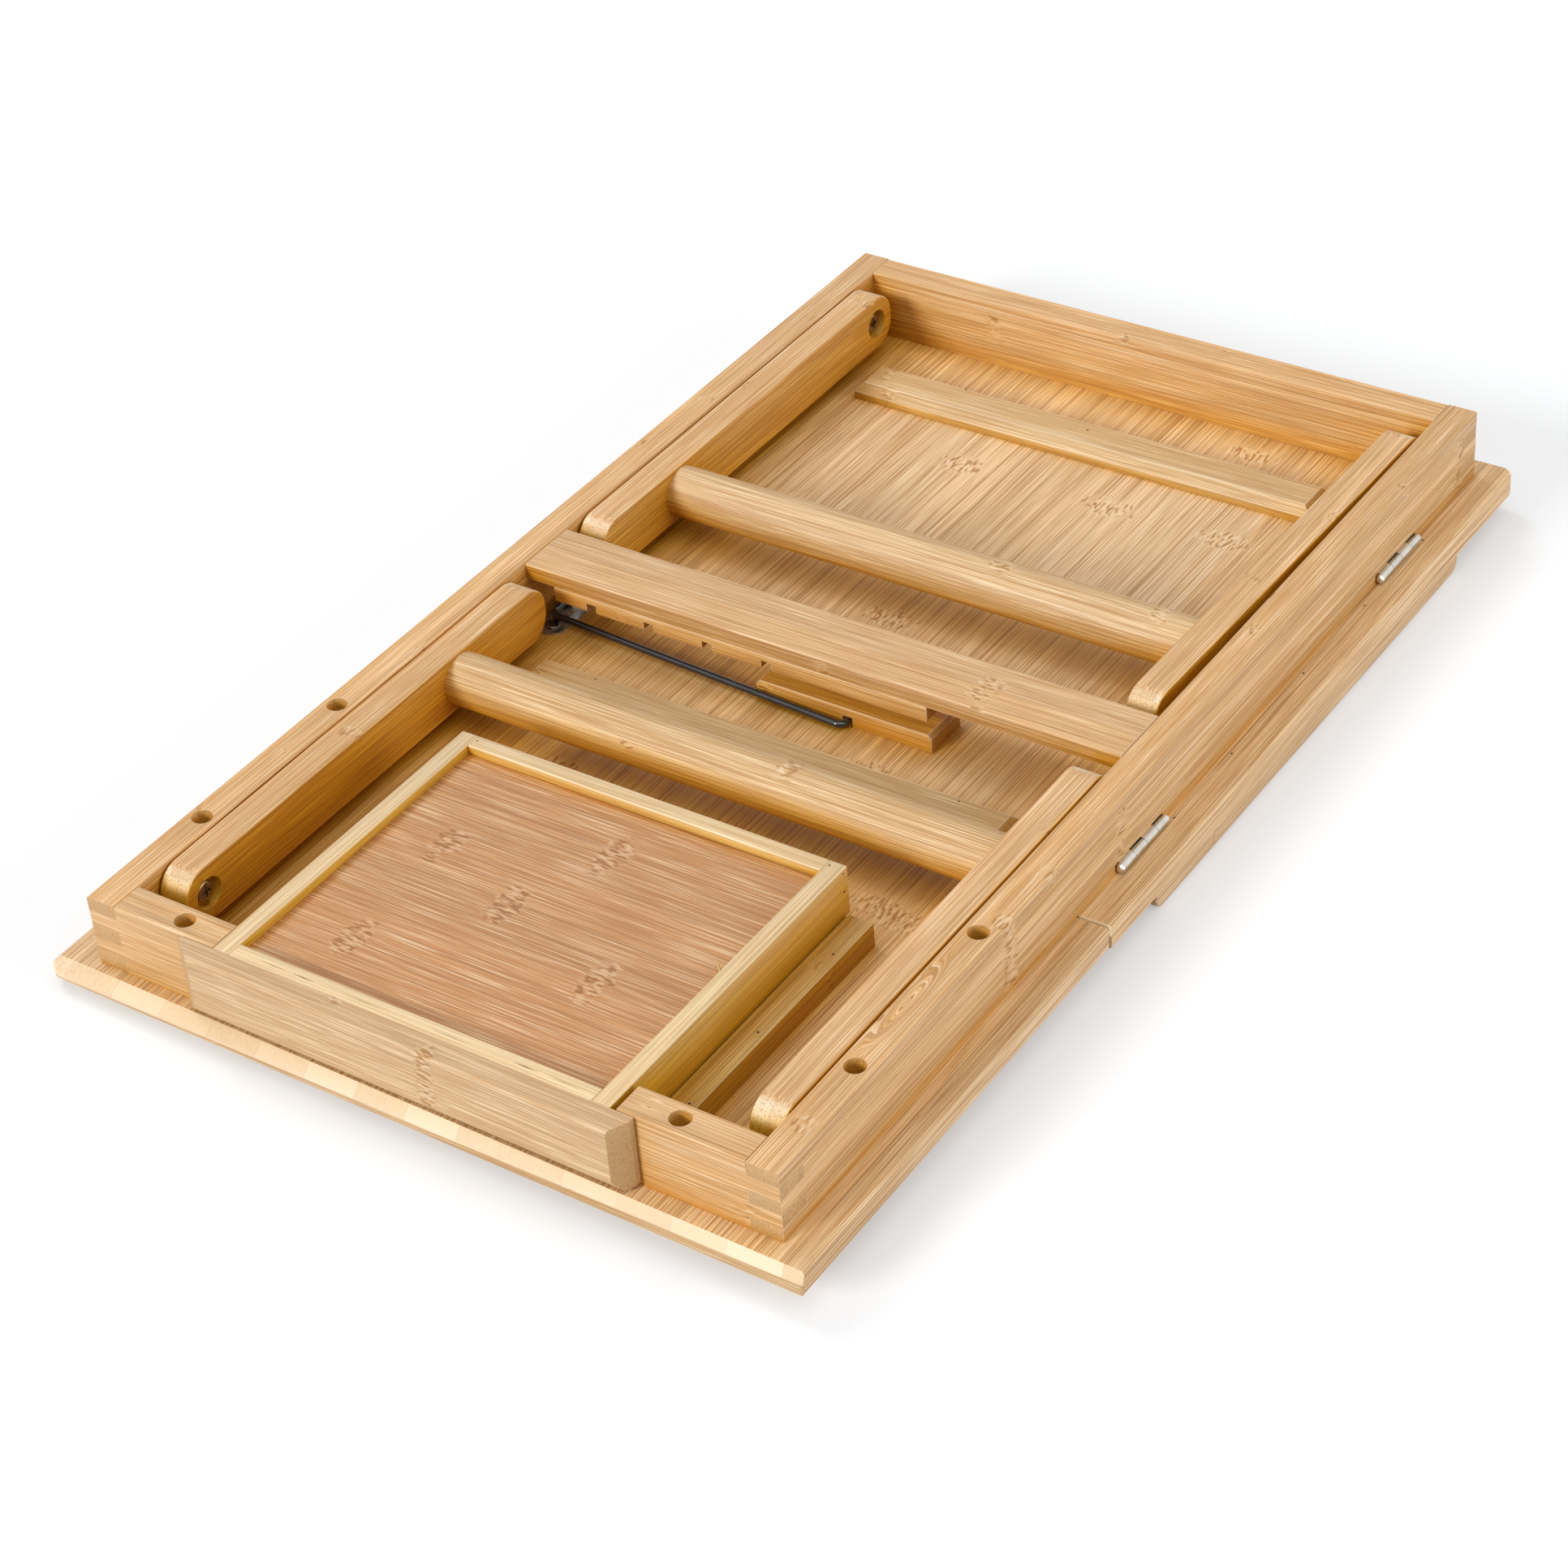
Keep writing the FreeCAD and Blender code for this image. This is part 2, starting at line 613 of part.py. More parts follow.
panel_leaf_z = (0, hinge_leaf_thickness)
rail_leaf_top = 2 * hinge_axis_z
rail_leaf_z = (rail_leaf_top - hinge_leaf_thickness, rail_leaf_top)
for side, x_start in hinge_starts.items():
    mortise = block(
        (x_start - mortise_clearance, x_start + hinge_length + mortise_clearance),
        (0, hinge_leaf_reach + mortise_clearance), (0, rail_leaf_top))
    head_range = (x_start - hinge_pin_head_length - mortise_clearance, x_start)
    head_relief = rod_x(head_range, hinge_axis_y, hinge_axis_z, hinge_pin_head_radius + mortise_clearance)
    front_rail = front_rail.cut(mortise).cut(head_relief)
    panel_leaf = hinge_leaf(x_start, panel_leaf_z, 1)
    rail_leaf = hinge_leaf(x_start, rail_leaf_z, 0)
    for name, x in (("a", x_start + hinge_screw_inset), ("b", x_start + hinge_length - hinge_screw_inset)):
        screw_sizes = (hinge_screw_head_radius, hinge_screw_radius, hinge_screw_length)
        hole_sizes = [size + seated_clearance for size in screw_sizes]
        down_seat = (Vector(x, hinge_screw_y, hinge_leaf_thickness), Vector(0, 0, 1))
        up_seat = (Vector(x, hinge_screw_y, rail_leaf_z[0]), Vector(0, 0, -1))
        nodes["hinge_%s_panel_screw_%s" % (side, name)] = flat_screw(*down_seat, *screw_sizes)
        nodes["hinge_%s_rail_screw_%s" % (side, name)] = flat_screw(*up_seat, *screw_sizes)
        down_hole = flat_screw(*down_seat, *hole_sizes)
        up_hole = flat_screw(*up_seat, *hole_sizes)
        panel_leaf = panel_leaf.cut(down_hole)
        tilting_panel = tilting_panel.cut(down_hole)
        rail_leaf = rail_leaf.cut(up_hole)
        front_rail = front_rail.cut(up_hole)
    nodes["hinge_%s_panel_leaf" % side] = panel_leaf
    nodes["hinge_%s_rail_leaf" % side] = rail_leaf
    nodes["hinge_%s_pin" % side] = hinge_pin(x_start)
nodes["tilting_panel"] = tilting_panel


# Legs, each drawn flat along x with its pivot end given
def leg_blank(x_range, y_range):
    z_range = (leg_middle_z - leg_width / 2, leg_middle_z + leg_width / 2)
    blank = block(x_range, y_range, z_range)
    blank = rounded(blank, leg_corner_round, lambda edge: runs_along(edge, "Y"))
    faces = [y_range[0], y_range[1]]
    return rounded(blank, leg_edge_round, lambda e: lies_on(e, "Y", faces[0]) or lies_on(e, "Y", faces[1]))


near_leg_x = (leg_end_inset, leg_end_inset + leg_length)
far_leg_x = (frame_length - leg_end_inset - leg_length, frame_length - leg_end_inset)
leg_pairs = {
    "near": {
        "x_range": near_leg_x,
        "pivot_x": near_leg_x[0] + leg_pivot_inset,
        "dowel_x": near_leg_x[1] - dowel_inset,
        "gaps": {"front": leg_side_gap, "back": leg_side_gap},
        "skews": {"front": 0, "back": 0},
    },
    "far": {
        "x_range": far_leg_x,
        "pivot_x": far_leg_x[1] - leg_pivot_inset,
        "dowel_x": far_leg_x[0] + dowel_inset,
        "gaps": {"front": far_front_leg_gap, "back": leg_side_gap},
        "skews": {"front": -far_front_leg_skew, "back": 0},
    },
}


# A leg, its spacer and its pivot screw. Inward is +1 at the front rail and -1 at the back rail.
def leg_set(pair_name, side, pair):
    inward = 1 if side == "front" else -1
    rail_face = long_rail_thickness if side == "front" else back_inner_y
    outer = rail_face + inward * pair["gaps"][side]
    inner = outer + inward * leg_thickness
    pivot_x = pair["pivot_x"]
    skew = pair["skews"][side]
    slope = math.tan(math.radians(abs(skew)))

    def along(start, end, radius, x=pivot_x):
        return rod_y(x, (min(start, end), max(start, end)), leg_middle_z, radius)

    recess_floor = inner - inward * pivot_recess_depth
    blank = leg_blank(pair["x_range"], (min(outer, inner), max(outer, inner)))
    blank.rotate(Vector(pivot_x, outer, leg_middle_z), Vector(0, 0, 1), skew)
    leg = blank.cut(along(outer - inward, inner + inward, pivot_radius + running_clearance))
    leg = leg.cut(along(recess_floor, inner + inward, pivot_recess_radius))
    dowel_face = inner + inward * abs(pair["dowel_x"] - pivot_x) * slope
    tenon_end = dowel_face - inward * (tenon_length + seated_clearance)
    leg = leg.cut(along(tenon_end, dowel_face + inward, tenon_radius + seated_clearance, pair["dowel_x"]))
    nodes["leg_%s_%s" % (pair_name, side)] = leg

    gap = turning_face_gap
    spacer = along(rail_face, outer - inward * (gap + spacer_radius * slope), spacer_radius)
    spacer = spacer.cut(along(rail_face, outer, pivot_radius + seated_clearance))
    nodes["leg_spacer_%s_%s" % (pair_name, side)] = spacer

    seat_y = recess_floor + inward * gap
    length = abs(seat_y - rail_face) + pivot_rail_depth
    nodes["leg_pivot_%s_%s" % (pair_name, side)] = screw(
        Vector(pivot_x, seat_y, leg_middle_z), Vector(0, inward, 0),
        pivot_head_radius, pivot_head_height, pivot_radius, length, 0.4)
    rail_hole_end = rail_face - inward * (pivot_rail_depth + seated_clearance)
    return blank, dowel_face, along(rail_hole_end, rail_face, pivot_radius + seated_clearance)


for pair_name, pair in leg_pairs.items():
    front_blank, front_inner, front_hole = leg_set(pair_name, "front", pair)
    back_blank, back_inner, back_hole = leg_set(pair_name, "back", pair)
    front_rail = front_rail.cut(front_hole)
    back_rail = back_rail.cut(back_hole)
    dowel_x = pair["dowel_x"]
    dowel = rod_y(dowel_x, (front_inner - 1, back_inner + 1), leg_middle_z, dowel_radius)
    dowel = dowel.cut(front_blank).cut(back_blank)
    tenons = rod_y(dowel_x, (front_inner - tenon_length, back_inner + tenon_length), leg_middle_z, tenon_radius)
    nodes["dowel_%s" % pair_name] = dowel.fuse(tenons).removeSplitter()

nodes["front_rail"] = front_rail
nodes["back_rail"] = back_rail

# Drawer: sides run through from face to back, the ends stand between them
side_front_y = (drawer_front_y, drawer_front_y + drawer_side_thickness)
side_back_y = (drawer_back_y - drawer_side_thickness, drawer_back_y)
inside_y = (side_front_y[1], side_back_y[0])
inside_x = (drawer_start + drawer_end_thickness, drawer_end - drawer_end_thickness)
wall_z = (drawer_bottom_gap, drawer_top)

bottom_x = (inside_x[0] - drawer_bottom_tongue, inside_x[1] + drawer_bottom_tongue)
bottom_y = (inside_y[0] - drawer_bottom_tongue, inside_y[1] + drawer_bottom_tongue)
nodes["drawer_bottom"] = block(bottom_x, bottom_y, (drawer_panel_bottom, drawer_panel_top))
groove_for_bottom = block(
    (bottom_x[0] - seated_clearance, bottom_x[1] + seated_clearance),
    (bottom_y[0] - seated_clearance, bottom_y[1] + seated_clearance),
    (drawer_panel_bottom - seated_clearance, drawer_panel_top + seated_clearance))

tongue_z = (runner_tongue_z, runner_tongue_z + runner_tongue_height)
groove_z = (tongue_z[0] - runner_groove_clearance, tongue_z[1] + runner_groove_clearance)
groove_depth = runner_tongue_reach + runner_groove_clearance
side_grooves = {
    "front": (drawer_front_y, drawer_front_y + groove_depth),
    "back": (drawer_back_y - groove_depth, drawer_back_y),
}
for side, y_range in (("front", side_front_y), ("back", side_back_y)):
    wall = block((drawer_start, drawer_end), y_range, wall_z).cut(groove_for_bottom)
    wall = wall.cut(block((drawer_start, drawer_end), side_grooves[side], groove_z))
    nodes["drawer_side_" + side] = wall

for name, x_range in (("inner_front", (drawer_start, inside_x[0])), ("back", (inside_x[1], drawer_end))):
    nodes["drawer_" + name] = block(x_range, inside_y, wall_z).cut(groove_for_bottom)

# Drawer face: overlaps both stubs, with slanted ends and its lower outer edge cut back as a finger pull
face_y = (drawer_front_y - drawer_face_front_overlap, drawer_back_y + drawer_face_back_overlap)
face_front_x = drawer_start - drawer_face_front_thickness
face_back_x = drawer_start - drawer_face_back_thickness
face_corners = [
    Vector(drawer_start, face_y[0], drawer_face_bottom_gap),
    Vector(drawer_start - drawer_face_end_flat, face_y[0], drawer_face_bottom_gap),
    Vector(face_front_x, face_y[0] + drawer_face_front_slant, drawer_face_bottom_gap),
    Vector(face_back_x, face_y[1] - drawer_face_back_slant, drawer_face_bottom_gap),
    Vector(drawer_start - drawer_face_end_flat, face_y[1], drawer_face_bottom_gap),
    Vector(drawer_start, face_y[1], drawer_face_bottom_gap),
]
face_outline = Part.Face(Part.makePolygon(face_corners + face_corners[:1]))
face = face_outline.extrude(Vector(0, 0, drawer_top - drawer_face_bottom_gap))
face = rounded(
    face, drawer_face_edge_round,
    lambda e: lies_on(e, "Z", drawer_top) and e.BoundBox.XMax < drawer_start - drawer_face_end_flat - 1)


def pull_outline(outer_x):
    slope = drawer_face_pull_height / drawer_face_pull_depth
    inner_x = outer_x + drawer_face_pull_depth
    return [
        (inner_x + past / slope, drawer_face_bottom_gap - past),
        (outer_x - past, drawer_face_bottom_gap + drawer_face_pull_height + past * slope),
        (outer_x - past, drawer_face_bottom_gap - past),
    ]


nodes["drawer_face"] = face.cut(
    tapered_wedge(face_y, past, pull_outline(face_front_x), pull_outline(face_back_x)))

# Runners
runner_end = drawer_end - runner_back_inset
runner_x = (runner_end - runner_length, runner_end)
for side, outer_y, inward in (("front", drawer_front_y, 1), ("back", drawer_back_y, -1)):
    inner_face = outer_y - inward * runner_gap
    far_face = inner_face - inward * runner_width
    tongue_tip = outer_y + inward * runner_tongue_reach
    strip = block(runner_x, (min(far_face, inner_face), max(far_face, inner_face)), (0, runner_height))
    tongue = block(runner_x, (min(inner_face, tongue_tip), max(inner_face, tongue_tip)), tongue_z)
    nodes["drawer_runner_" + side] = strip.fuse(tongue).removeSplitter()

# The origin goes to the middle of the footprint, level with the lowest face of the ledge
origin_shift = Vector(
    -(slab_x[0] + slab_x[1]) / 2,
    -(slab_y[0] + slab_y[1]) / 2,
    panel_thickness + ledge_height)

os.makedirs("parts", exist_ok=True)
for name, shape in nodes.items():
    solids = shape.Solids
    if len(solids) != 1 or not shape.isValid():
        print("check", name, "solids", len(solids), "valid", shape.isValid())
    moved = solids[0].copy()
    moved.translate(origin_shift)
    moved.exportStep("parts/%s.step" % name)

path_length = stay_path.Length
pipe_volume = nodes["stay_wire"].Volume
print("stay wire volume / (section x length):", pipe_volume / (math.pi * wire_radius ** 2 * path_length))
print("nodes:", len(nodes))
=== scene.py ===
import itertools
import math

import bmesh
import bpy
from mathutils import Matrix, Vector


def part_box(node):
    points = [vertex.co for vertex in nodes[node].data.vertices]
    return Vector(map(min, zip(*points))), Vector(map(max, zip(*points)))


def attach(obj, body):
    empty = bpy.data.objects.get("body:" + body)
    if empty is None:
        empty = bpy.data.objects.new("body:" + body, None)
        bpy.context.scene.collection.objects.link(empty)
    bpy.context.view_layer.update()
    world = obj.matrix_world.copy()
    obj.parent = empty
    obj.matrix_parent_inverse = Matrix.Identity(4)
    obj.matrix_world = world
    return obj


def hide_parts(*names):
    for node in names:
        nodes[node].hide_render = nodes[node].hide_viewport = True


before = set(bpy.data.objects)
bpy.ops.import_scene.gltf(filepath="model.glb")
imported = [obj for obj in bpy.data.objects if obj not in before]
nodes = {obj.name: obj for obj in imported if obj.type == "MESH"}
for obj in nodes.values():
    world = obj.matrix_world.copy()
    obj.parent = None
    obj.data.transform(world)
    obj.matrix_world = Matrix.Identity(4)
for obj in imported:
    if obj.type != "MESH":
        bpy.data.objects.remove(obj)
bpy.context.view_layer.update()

scene = bpy.context.scene


# Studio.
# The tray lies upside down on a white table top, tipped a little because it rests on its ledge
# and on the panels' back edge. The camera stands at the near corner, with a long lens.
def add_node(tree, kind, inputs=None, **settings):
    made = tree.nodes.new(kind)
    for key, value in settings.items():
        setattr(made, key, value)
    for socket, value in (inputs or {}).items():
        if isinstance(value, bpy.types.NodeSocket):
            tree.links.new(value, made.inputs[socket])
        else:
            made.inputs[socket].default_value = value
    return made


def math_node(tree, operation, *values, clamp=False):
    inputs = dict(enumerate(values))
    return add_node(tree, "ShaderNodeMath", inputs, operation=operation, use_clamp=clamp).outputs[0]


def new_material(name):
    material = bpy.data.materials.new(name)
    material.use_nodes = True
    material.node_tree.nodes.clear()
    return material, material.node_tree


def put_in_scene(name, mesh):
    thing = bpy.data.objects.new(name, mesh)
    scene.collection.objects.link(thing)
    return thing


camera_place = Vector((-0.89685, -0.63513, 0.80819))
camera_heading = math.radians(53.70)
camera_dip = math.radians(36.94)
camera_roll = math.radians(-4.884)
lens = bpy.data.cameras.new("camera")
lens.lens = 86.69
lens.sensor_width = 36.0
lens.clip_start = 0.05
lens.clip_end = 60.0
camera = put_in_scene("camera", lens)
camera.matrix_world = (
    Matrix.Translation(camera_place)
    @ Matrix.Rotation(-camera_heading, 4, "Z")
    @ Matrix.Rotation(math.pi / 2 - camera_dip, 4, "X")
    @ Matrix.Rotation(camera_roll, 4, "Z")
)
scene.camera = camera
scene.view_settings.view_transform = "Standard"

table_half = 9.0
table_clearance = 0.0001
ledge_back_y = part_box("book_ledge")[1].y
ledge_low_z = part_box("book_ledge")[0].z
panel_back_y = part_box("tilting_panel")[1].y
panel_low_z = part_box("tilting_panel")[0].z
table_slope = (panel_low_z - ledge_low_z) / (panel_back_y - ledge_back_y)
corners = []
for x, y in ((-1, -1), (1, -1), (1, 1), (-1, 1)):
    height = ledge_low_z + (y * table_half - ledge_back_y) * table_slope - table_clearance
    corners.append((x * table_half, y * table_half, height))
table_mesh = bpy.data.meshes.new("table_top")
table_mesh.from_pydata(corners, [], [(0, 1, 2, 3)])
table_top = put_in_scene("table_top", table_mesh)


def seen_directly(tree):
    path = add_node(tree, "ShaderNodeLightPath")
    seen = math_node(tree, "MAXIMUM", path.outputs["Is Camera Ray"], path.outputs["Is Glossy Ray"])
    return math_node(tree, "MAXIMUM", seen, path.outputs["Is Transmission Ray"])


table_white, tree = new_material("table_white")
board = add_node(tree, "ShaderNodeBsdfDiffuse", {"Color": (0.80, 0.80, 0.81, 1)})
seen_board = add_node(tree, "ShaderNodeBsdfDiffuse", {"Color": (0.58, 0.59, 0.60, 1)})
lift = add_node(tree, "ShaderNodeEmission", {"Color": (1, 1, 1, 1), "Strength": 0.35})
lifted = add_node(tree, "ShaderNodeAddShader", {0: seen_board.outputs[0], 1: lift.outputs[0]})
shown = add_node(
    tree, "ShaderNodeMixShader",
    {0: seen_directly(tree), 1: board.outputs[0], 2: lifted.outputs[0]})
add_node(tree, "ShaderNodeOutputMaterial", {"Surface": shown.outputs[0]})
table_mesh.materials.append(table_white)

world = bpy.data.worlds.new("studio_air")
world.use_nodes = True
tree = world.node_tree
tree.nodes.clear()
soft = add_node(tree, "ShaderNodeBackground", {"Color": (1, 1, 1, 1), "Strength": 0.34})
white = add_node(tree, "ShaderNodeBackground", {"Color": (1, 1, 1, 1), "Strength": 1.0})
sky = add_node(
    tree, "ShaderNodeMixShader", {0: seen_directly(tree), 1: soft.outputs[0], 2: white.outputs[0]})
add_node(tree, "ShaderNodeOutputWorld", {"Surface": sky.outputs[0]})
scene.world = world

# Soft lamps: a window behind the tray, one at its left, the ceiling, and a low fill in front.
# Each has the way towards it, its strength and its spread in degrees.
studio_lamps = {
    "back_window": ((0.25, 0.80, 1.15), 0.65, 18),
    "left_window": ((-1.0, 0.35, 0.50), 2.15, 18),
    "ceiling": ((-0.20, -0.30, 1.0), 0.95, 60),
    "front_fill": ((0.15, -1.0, 0.28), 1.05, 35),
}
for name, (towards, strength, spread) in studio_lamps.items():
    lamp = bpy.data.lights.new(name, "SUN")
    lamp.energy = strength
    lamp.angle = math.radians(spread)
    holder = put_in_scene(name, lamp)
    holder.rotation_euler = Vector(towards).to_track_quat("Z", "Y").to_euler()


# Frame rails.
# The frame is glued up from bamboo slats: two long rails, a far rail and two short stubs beside
# the drawer. They meet in finger joints at the corners, and the arrises are eased by sanding.
class NodeSketch:
    """Short names for the nodes of one bamboo tree."""

    def __init__(self, tree):
        self.tree = tree

    def calc(self, operation, *values, clamp=False):
        return math_node(self.tree, operation, *values, clamp=clamp)

    def span(self, value, low, high, to_low=0.0, to_high=1.0):
        made = add_node(self.tree, "ShaderNodeMapRange", {
            "Value": value, "From Min": low, "From Max": high, "To Min": to_low, "To Max": to_high,
        }, interpolation_type="SMOOTHSTEP")
        return made.outputs[0]

    def blend(self, share, low, high, kind="MIX"):
        made = add_node(self.tree, "ShaderNodeMix", data_type="RGBA", blend_type=kind)
        for socket, value in ((0, share), (6, low), (7, high)):
            if isinstance(value, bpy.types.NodeSocket):
                self.tree.links.new(value, made.inputs[socket])
            else:
                made.inputs[socket].default_value = value
        return made.outputs[2]

    def distance(self, x, y):
        squares = [self.calc("POWER", part, 2.0) for part in (x, y)]
        return self.calc("SQRT", self.calc("ADD", *squares))

    def scaled(self, place, stretch):
        inputs = {0: place, 1: stretch}
        return add_node(
            self.tree, "ShaderNodeVectorMath", inputs, operation="MULTIPLY").outputs[0]

    def noise(self, place, stretch, detail, roughness=0.5):
        made = add_node(self.tree, "ShaderNodeTexNoise", {
            "Vector": self.scaled(place, stretch), "Scale": 1.0, "Detail": detail,
            "Roughness": roughness})
        return made.outputs[0]

    def parts(self, vector):
        return add_node(self.tree, "ShaderNodeSeparateXYZ", {0: vector}).outputs

    def vector(self, x, y, z):
        return add_node(self.tree, "ShaderNodeCombineXYZ", {0: x, 1: y, 2: z}).outputs[0]


def new_group(name, inputs, outputs):
    group = bpy.data.node_groups.new(name, "ShaderNodeTree")
    for side, sockets in (("INPUT", inputs), ("OUTPUT", outputs)):
        for socket, kind in sockets:
            group.interface.new_socket(socket, in_out=side, socket_type="NodeSocket" + kind)
    return group, NodeSketch(group), add_node(group, "NodeGroupInput").outputs


# One marked knuckle: full strength at its centre, nothing past its reach
def knuckle_group():
    group, s, given = new_group(
        "knuckle_mark",
        [("Place", "Vector"), ("Centre", "Vector"), ("Reach", "Vector"), ("Others", "Float")],
        [("Mark", "Float")])
    off = add_node(group, "ShaderNodeVectorMath", {
        0: given["Place"], 1: given["Centre"]}, operation="SUBTRACT").outputs[0]
    share = add_node(group, "ShaderNodeVectorMath", {0: off, 1: given["Reach"]}, operation="DIVIDE")
    flat = s.parts(share.outputs[0])
    own = s.calc("SUBTRACT", 1.0, s.distance(flat[0], flat[1]), clamp=True)
    add_node(group, "NodeGroupOutput", {"Mark": s.calc("MAXIMUM", own, given["Others"])})
    return group


def slat_group():
    group, s, given = new_group(
        "bamboo_slats",
        [("Place", "Vector"), ("Facing", "Vector"), ("Slat width", "Float"),
         ("Slat depth", "Float"), ("Seed", "Float"), ("Knuckle gap", "Float"),
         ("Knuckle strength", "Float"), ("Mark", "Float"), ("Streaks", "Float"),
         ("Seams", "Float"), ("Pores", "Float"), ("Pale", "Color"), ("Warm", "Color"),
         ("Streak", "Color"), ("Sawn", "Color")],
        [("Color", "Color"), ("Roughness", "Float"), ("Height", "Float")])
    calc, span, blend, noise = s.calc, s.span, s.blend, s.noise
    stem_spread = 9.0
    ring_reach = 0.0075
    swing_reach = 0.0022
    seam_outer, seam_inner = 0.00035, 0.00008
    bright_fibre = (0.92, 0.74, 0.50, 1.0)
    fibre_end = (0.95, 0.82, 0.62, 1.0)
    # Noise cycles per metre along the slat, across it and into it
    cycles = {
        "ragged": (90.0, 420.0, 420.0), "tooth": (230.0, 780.0, 780.0),
        "broad": (3.0, 150.0, 150.0), "fine": (9.0, 900.0, 900.0),
        "hair": (30.0, 3000.0, 3000.0), "vein": (9.0, 2300.0, 2300.0),
        "pore": (1300.0, 1300.0, 1300.0),
    }
    along, across, deep = s.parts(given["Place"])[0:3]
    row = calc("FLOOR", calc("DIVIDE", across, given["Slat width"]))
    layer = calc("FLOOR", calc("DIVIDE", deep, given["Slat depth"]))
    draw = add_node(group, "ShaderNodeTexWhiteNoise", {
        "Vector": s.vector(row, layer, given["Seed"])})
    chance = add_node(group, "ShaderNodeSeparateColor", {0: draw.outputs["Color"]}).outputs
    own_stem = calc("MULTIPLY", draw.outputs["Value"], stem_spread)

    # Knuckles: the rings of the cane, a comb of short fibre ends across the slat
    turn = calc("ADD", calc("DIVIDE", along, given["Knuckle gap"]), chance[0])
    off_ring = calc("MULTIPLY", calc("SUBTRACT", calc("FRACT", turn), 0.5), given["Knuckle gap"])
    ring = span(calc("ABSOLUTE", off_ring), ring_reach, 0.0)
    ring = calc("MULTIPLY", ring, given["Knuckle strength"])
    mark = calc("MAXIMUM", ring, given["Mark"])
    ragged = noise(given["Place"], cycles["ragged"], 2.0)
    fray = calc("MULTIPLY", calc("SUBTRACT", ragged, 0.5), 0.9)
    knuckle = span(calc("ADD", mark, fray), 0.30, 0.48)
    near_knuckle = span(mark, 0.0, 0.5)
    tooth = noise(given["Place"], cycles["tooth"], 1.0, 0.6)

    # Fibres run along the slat, and swing aside at a knuckle
    swing = calc("MULTIPLY", calc("SUBTRACT", ragged, 0.5), near_knuckle)
    swing = calc("MULTIPLY", swing, swing_reach)
    fibre_place = s.vector(
        calc("ADD", along, own_stem), calc("ADD", calc("ADD", across, swing), own_stem), deep)
    broad = noise(fibre_place, cycles["broad"], 2.0)
    fine = noise(fibre_place, cycles["fine"], 3.0, 0.65)
    hair = noise(fibre_place, cycles["hair"], 1.0)
    vein = noise(fibre_place, cycles["vein"], 1.0)
    end_grain = span(calc("ABSOLUTE", s.parts(given["Facing"])[0]), 0.20, 0.45)
    lengthways = calc("SUBTRACT", 1.0, calc("MULTIPLY", end_grain, 0.88))
    hairs = calc("MULTIPLY", span(hair, 0.55, 0.62), 0.8)
    veins = span(vein, 0.55, 0.61)
    dark_lines = calc("MULTIPLY", calc("MAXIMUM", hairs, veins), given["Streaks"], clamp=True)
    plain = calc("SUBTRACT", lengthways, calc("MULTIPLY", near_knuckle, 0.7), clamp=True)
    dark_lines = calc("MULTIPLY", dark_lines, plain)
    bright_lines = calc("MULTIPLY", span(hair, 0.46, 0.38), calc("MULTIPLY", lengthways, 0.45))

    # Each slat has its own tone, with broad bands and fine fibres inside it
    bands = calc("MULTIPLY", span(broad, 0.30, 0.70), 0.20)
    tone = calc("ADD", bands, calc("MULTIPLY", chance[1], 0.80))
    colour = blend(tone, given["Pale"], given["Warm"])
    fibre_shade = span(fine, 0.30, 0.70, 0.91, 1.07)
    shade = calc("MULTIPLY", fibre_shade, span(chance[2], 0.0, 1.0, 0.92, 1.07))
    grey = add_node(group, "ShaderNodeCombineColor", {0: shade, 1: shade, 2: shade})
    colour = blend(1.0, colour, grey.outputs[0], "MULTIPLY")
    colour = blend(bright_lines, colour, bright_fibre)
    colour = blend(dark_lines, colour, given["Streak"])

    # A knuckle is a little darker round about, with pale fibre ends between dark gaps
    colour = blend(calc("MULTIPLY", near_knuckle, 0.14), colour, given["Streak"])
    gaps = calc("MULTIPLY", knuckle, span(tooth, 0.52, 0.60))
    ends = calc("MULTIPLY", knuckle, span(tooth, 0.48, 0.40))
    bone = blend(0.35, given["Pale"], fibre_end)
    colour = blend(calc("MULTIPLY", ends, 0.55), colour, bone)
    colour = blend(calc("MULTIPLY", gaps, 0.85), colour, given["Streak"])

    # Glue lines between slats, and open pores on the sawn ends
    def glue_line(value, width):
        share = calc("FRACT", calc("DIVIDE", value, width))
        offset = calc("ABSOLUTE", calc("SUBTRACT", share, 0.5))
        reach = calc("MULTIPLY", calc("SUBTRACT", 0.5, offset), width)
        return span(reach, seam_outer, seam_inner)

    seams = calc("MAXIMUM", glue_line(across, given["Slat width"]),
                 glue_line(deep, given["Slat depth"]))
    colour = blend(calc("MULTIPLY", seams, given["Seams"]), colour, given["Streak"])
    pore = noise(given["Place"], cycles["pore"], 2.0, 0.7)
    pits = calc("MULTIPLY", span(pore, 0.50, 0.64), end_grain)
    sawn_share = calc("MULTIPLY", end_grain, span(chance[2], 0.0, 1.0, 0.35, 0.80))
    colour = blend(sawn_share, colour, given["Sawn"])
    colour = blend(calc("MULTIPLY", pits, given["Pores"]), colour, given["Streak"])

    rough = calc("ADD", span(fine, 0.3, 0.7, 0.58, 0.46), calc("MULTIPLY", end_grain, 0.12))
    height = calc("MULTIPLY", calc("MULTIPLY", fine, 0.5), lengthways)
    height = calc("SUBTRACT", height, calc("MULTIPLY", dark_lines, 0.45))
    height = calc("SUBTRACT", height, calc("MULTIPLY", gaps, 0.9))
    pits = calc("MULTIPLY", pits, given["Pores"])
    height = calc("SUBTRACT", height, calc("MULTIPLY", calc("MAXIMUM", seams, pits), 0.5))
    add_node(group, "NodeGroupOutput", {"Color": colour, "Roughness": rough, "Height": height})
    return group


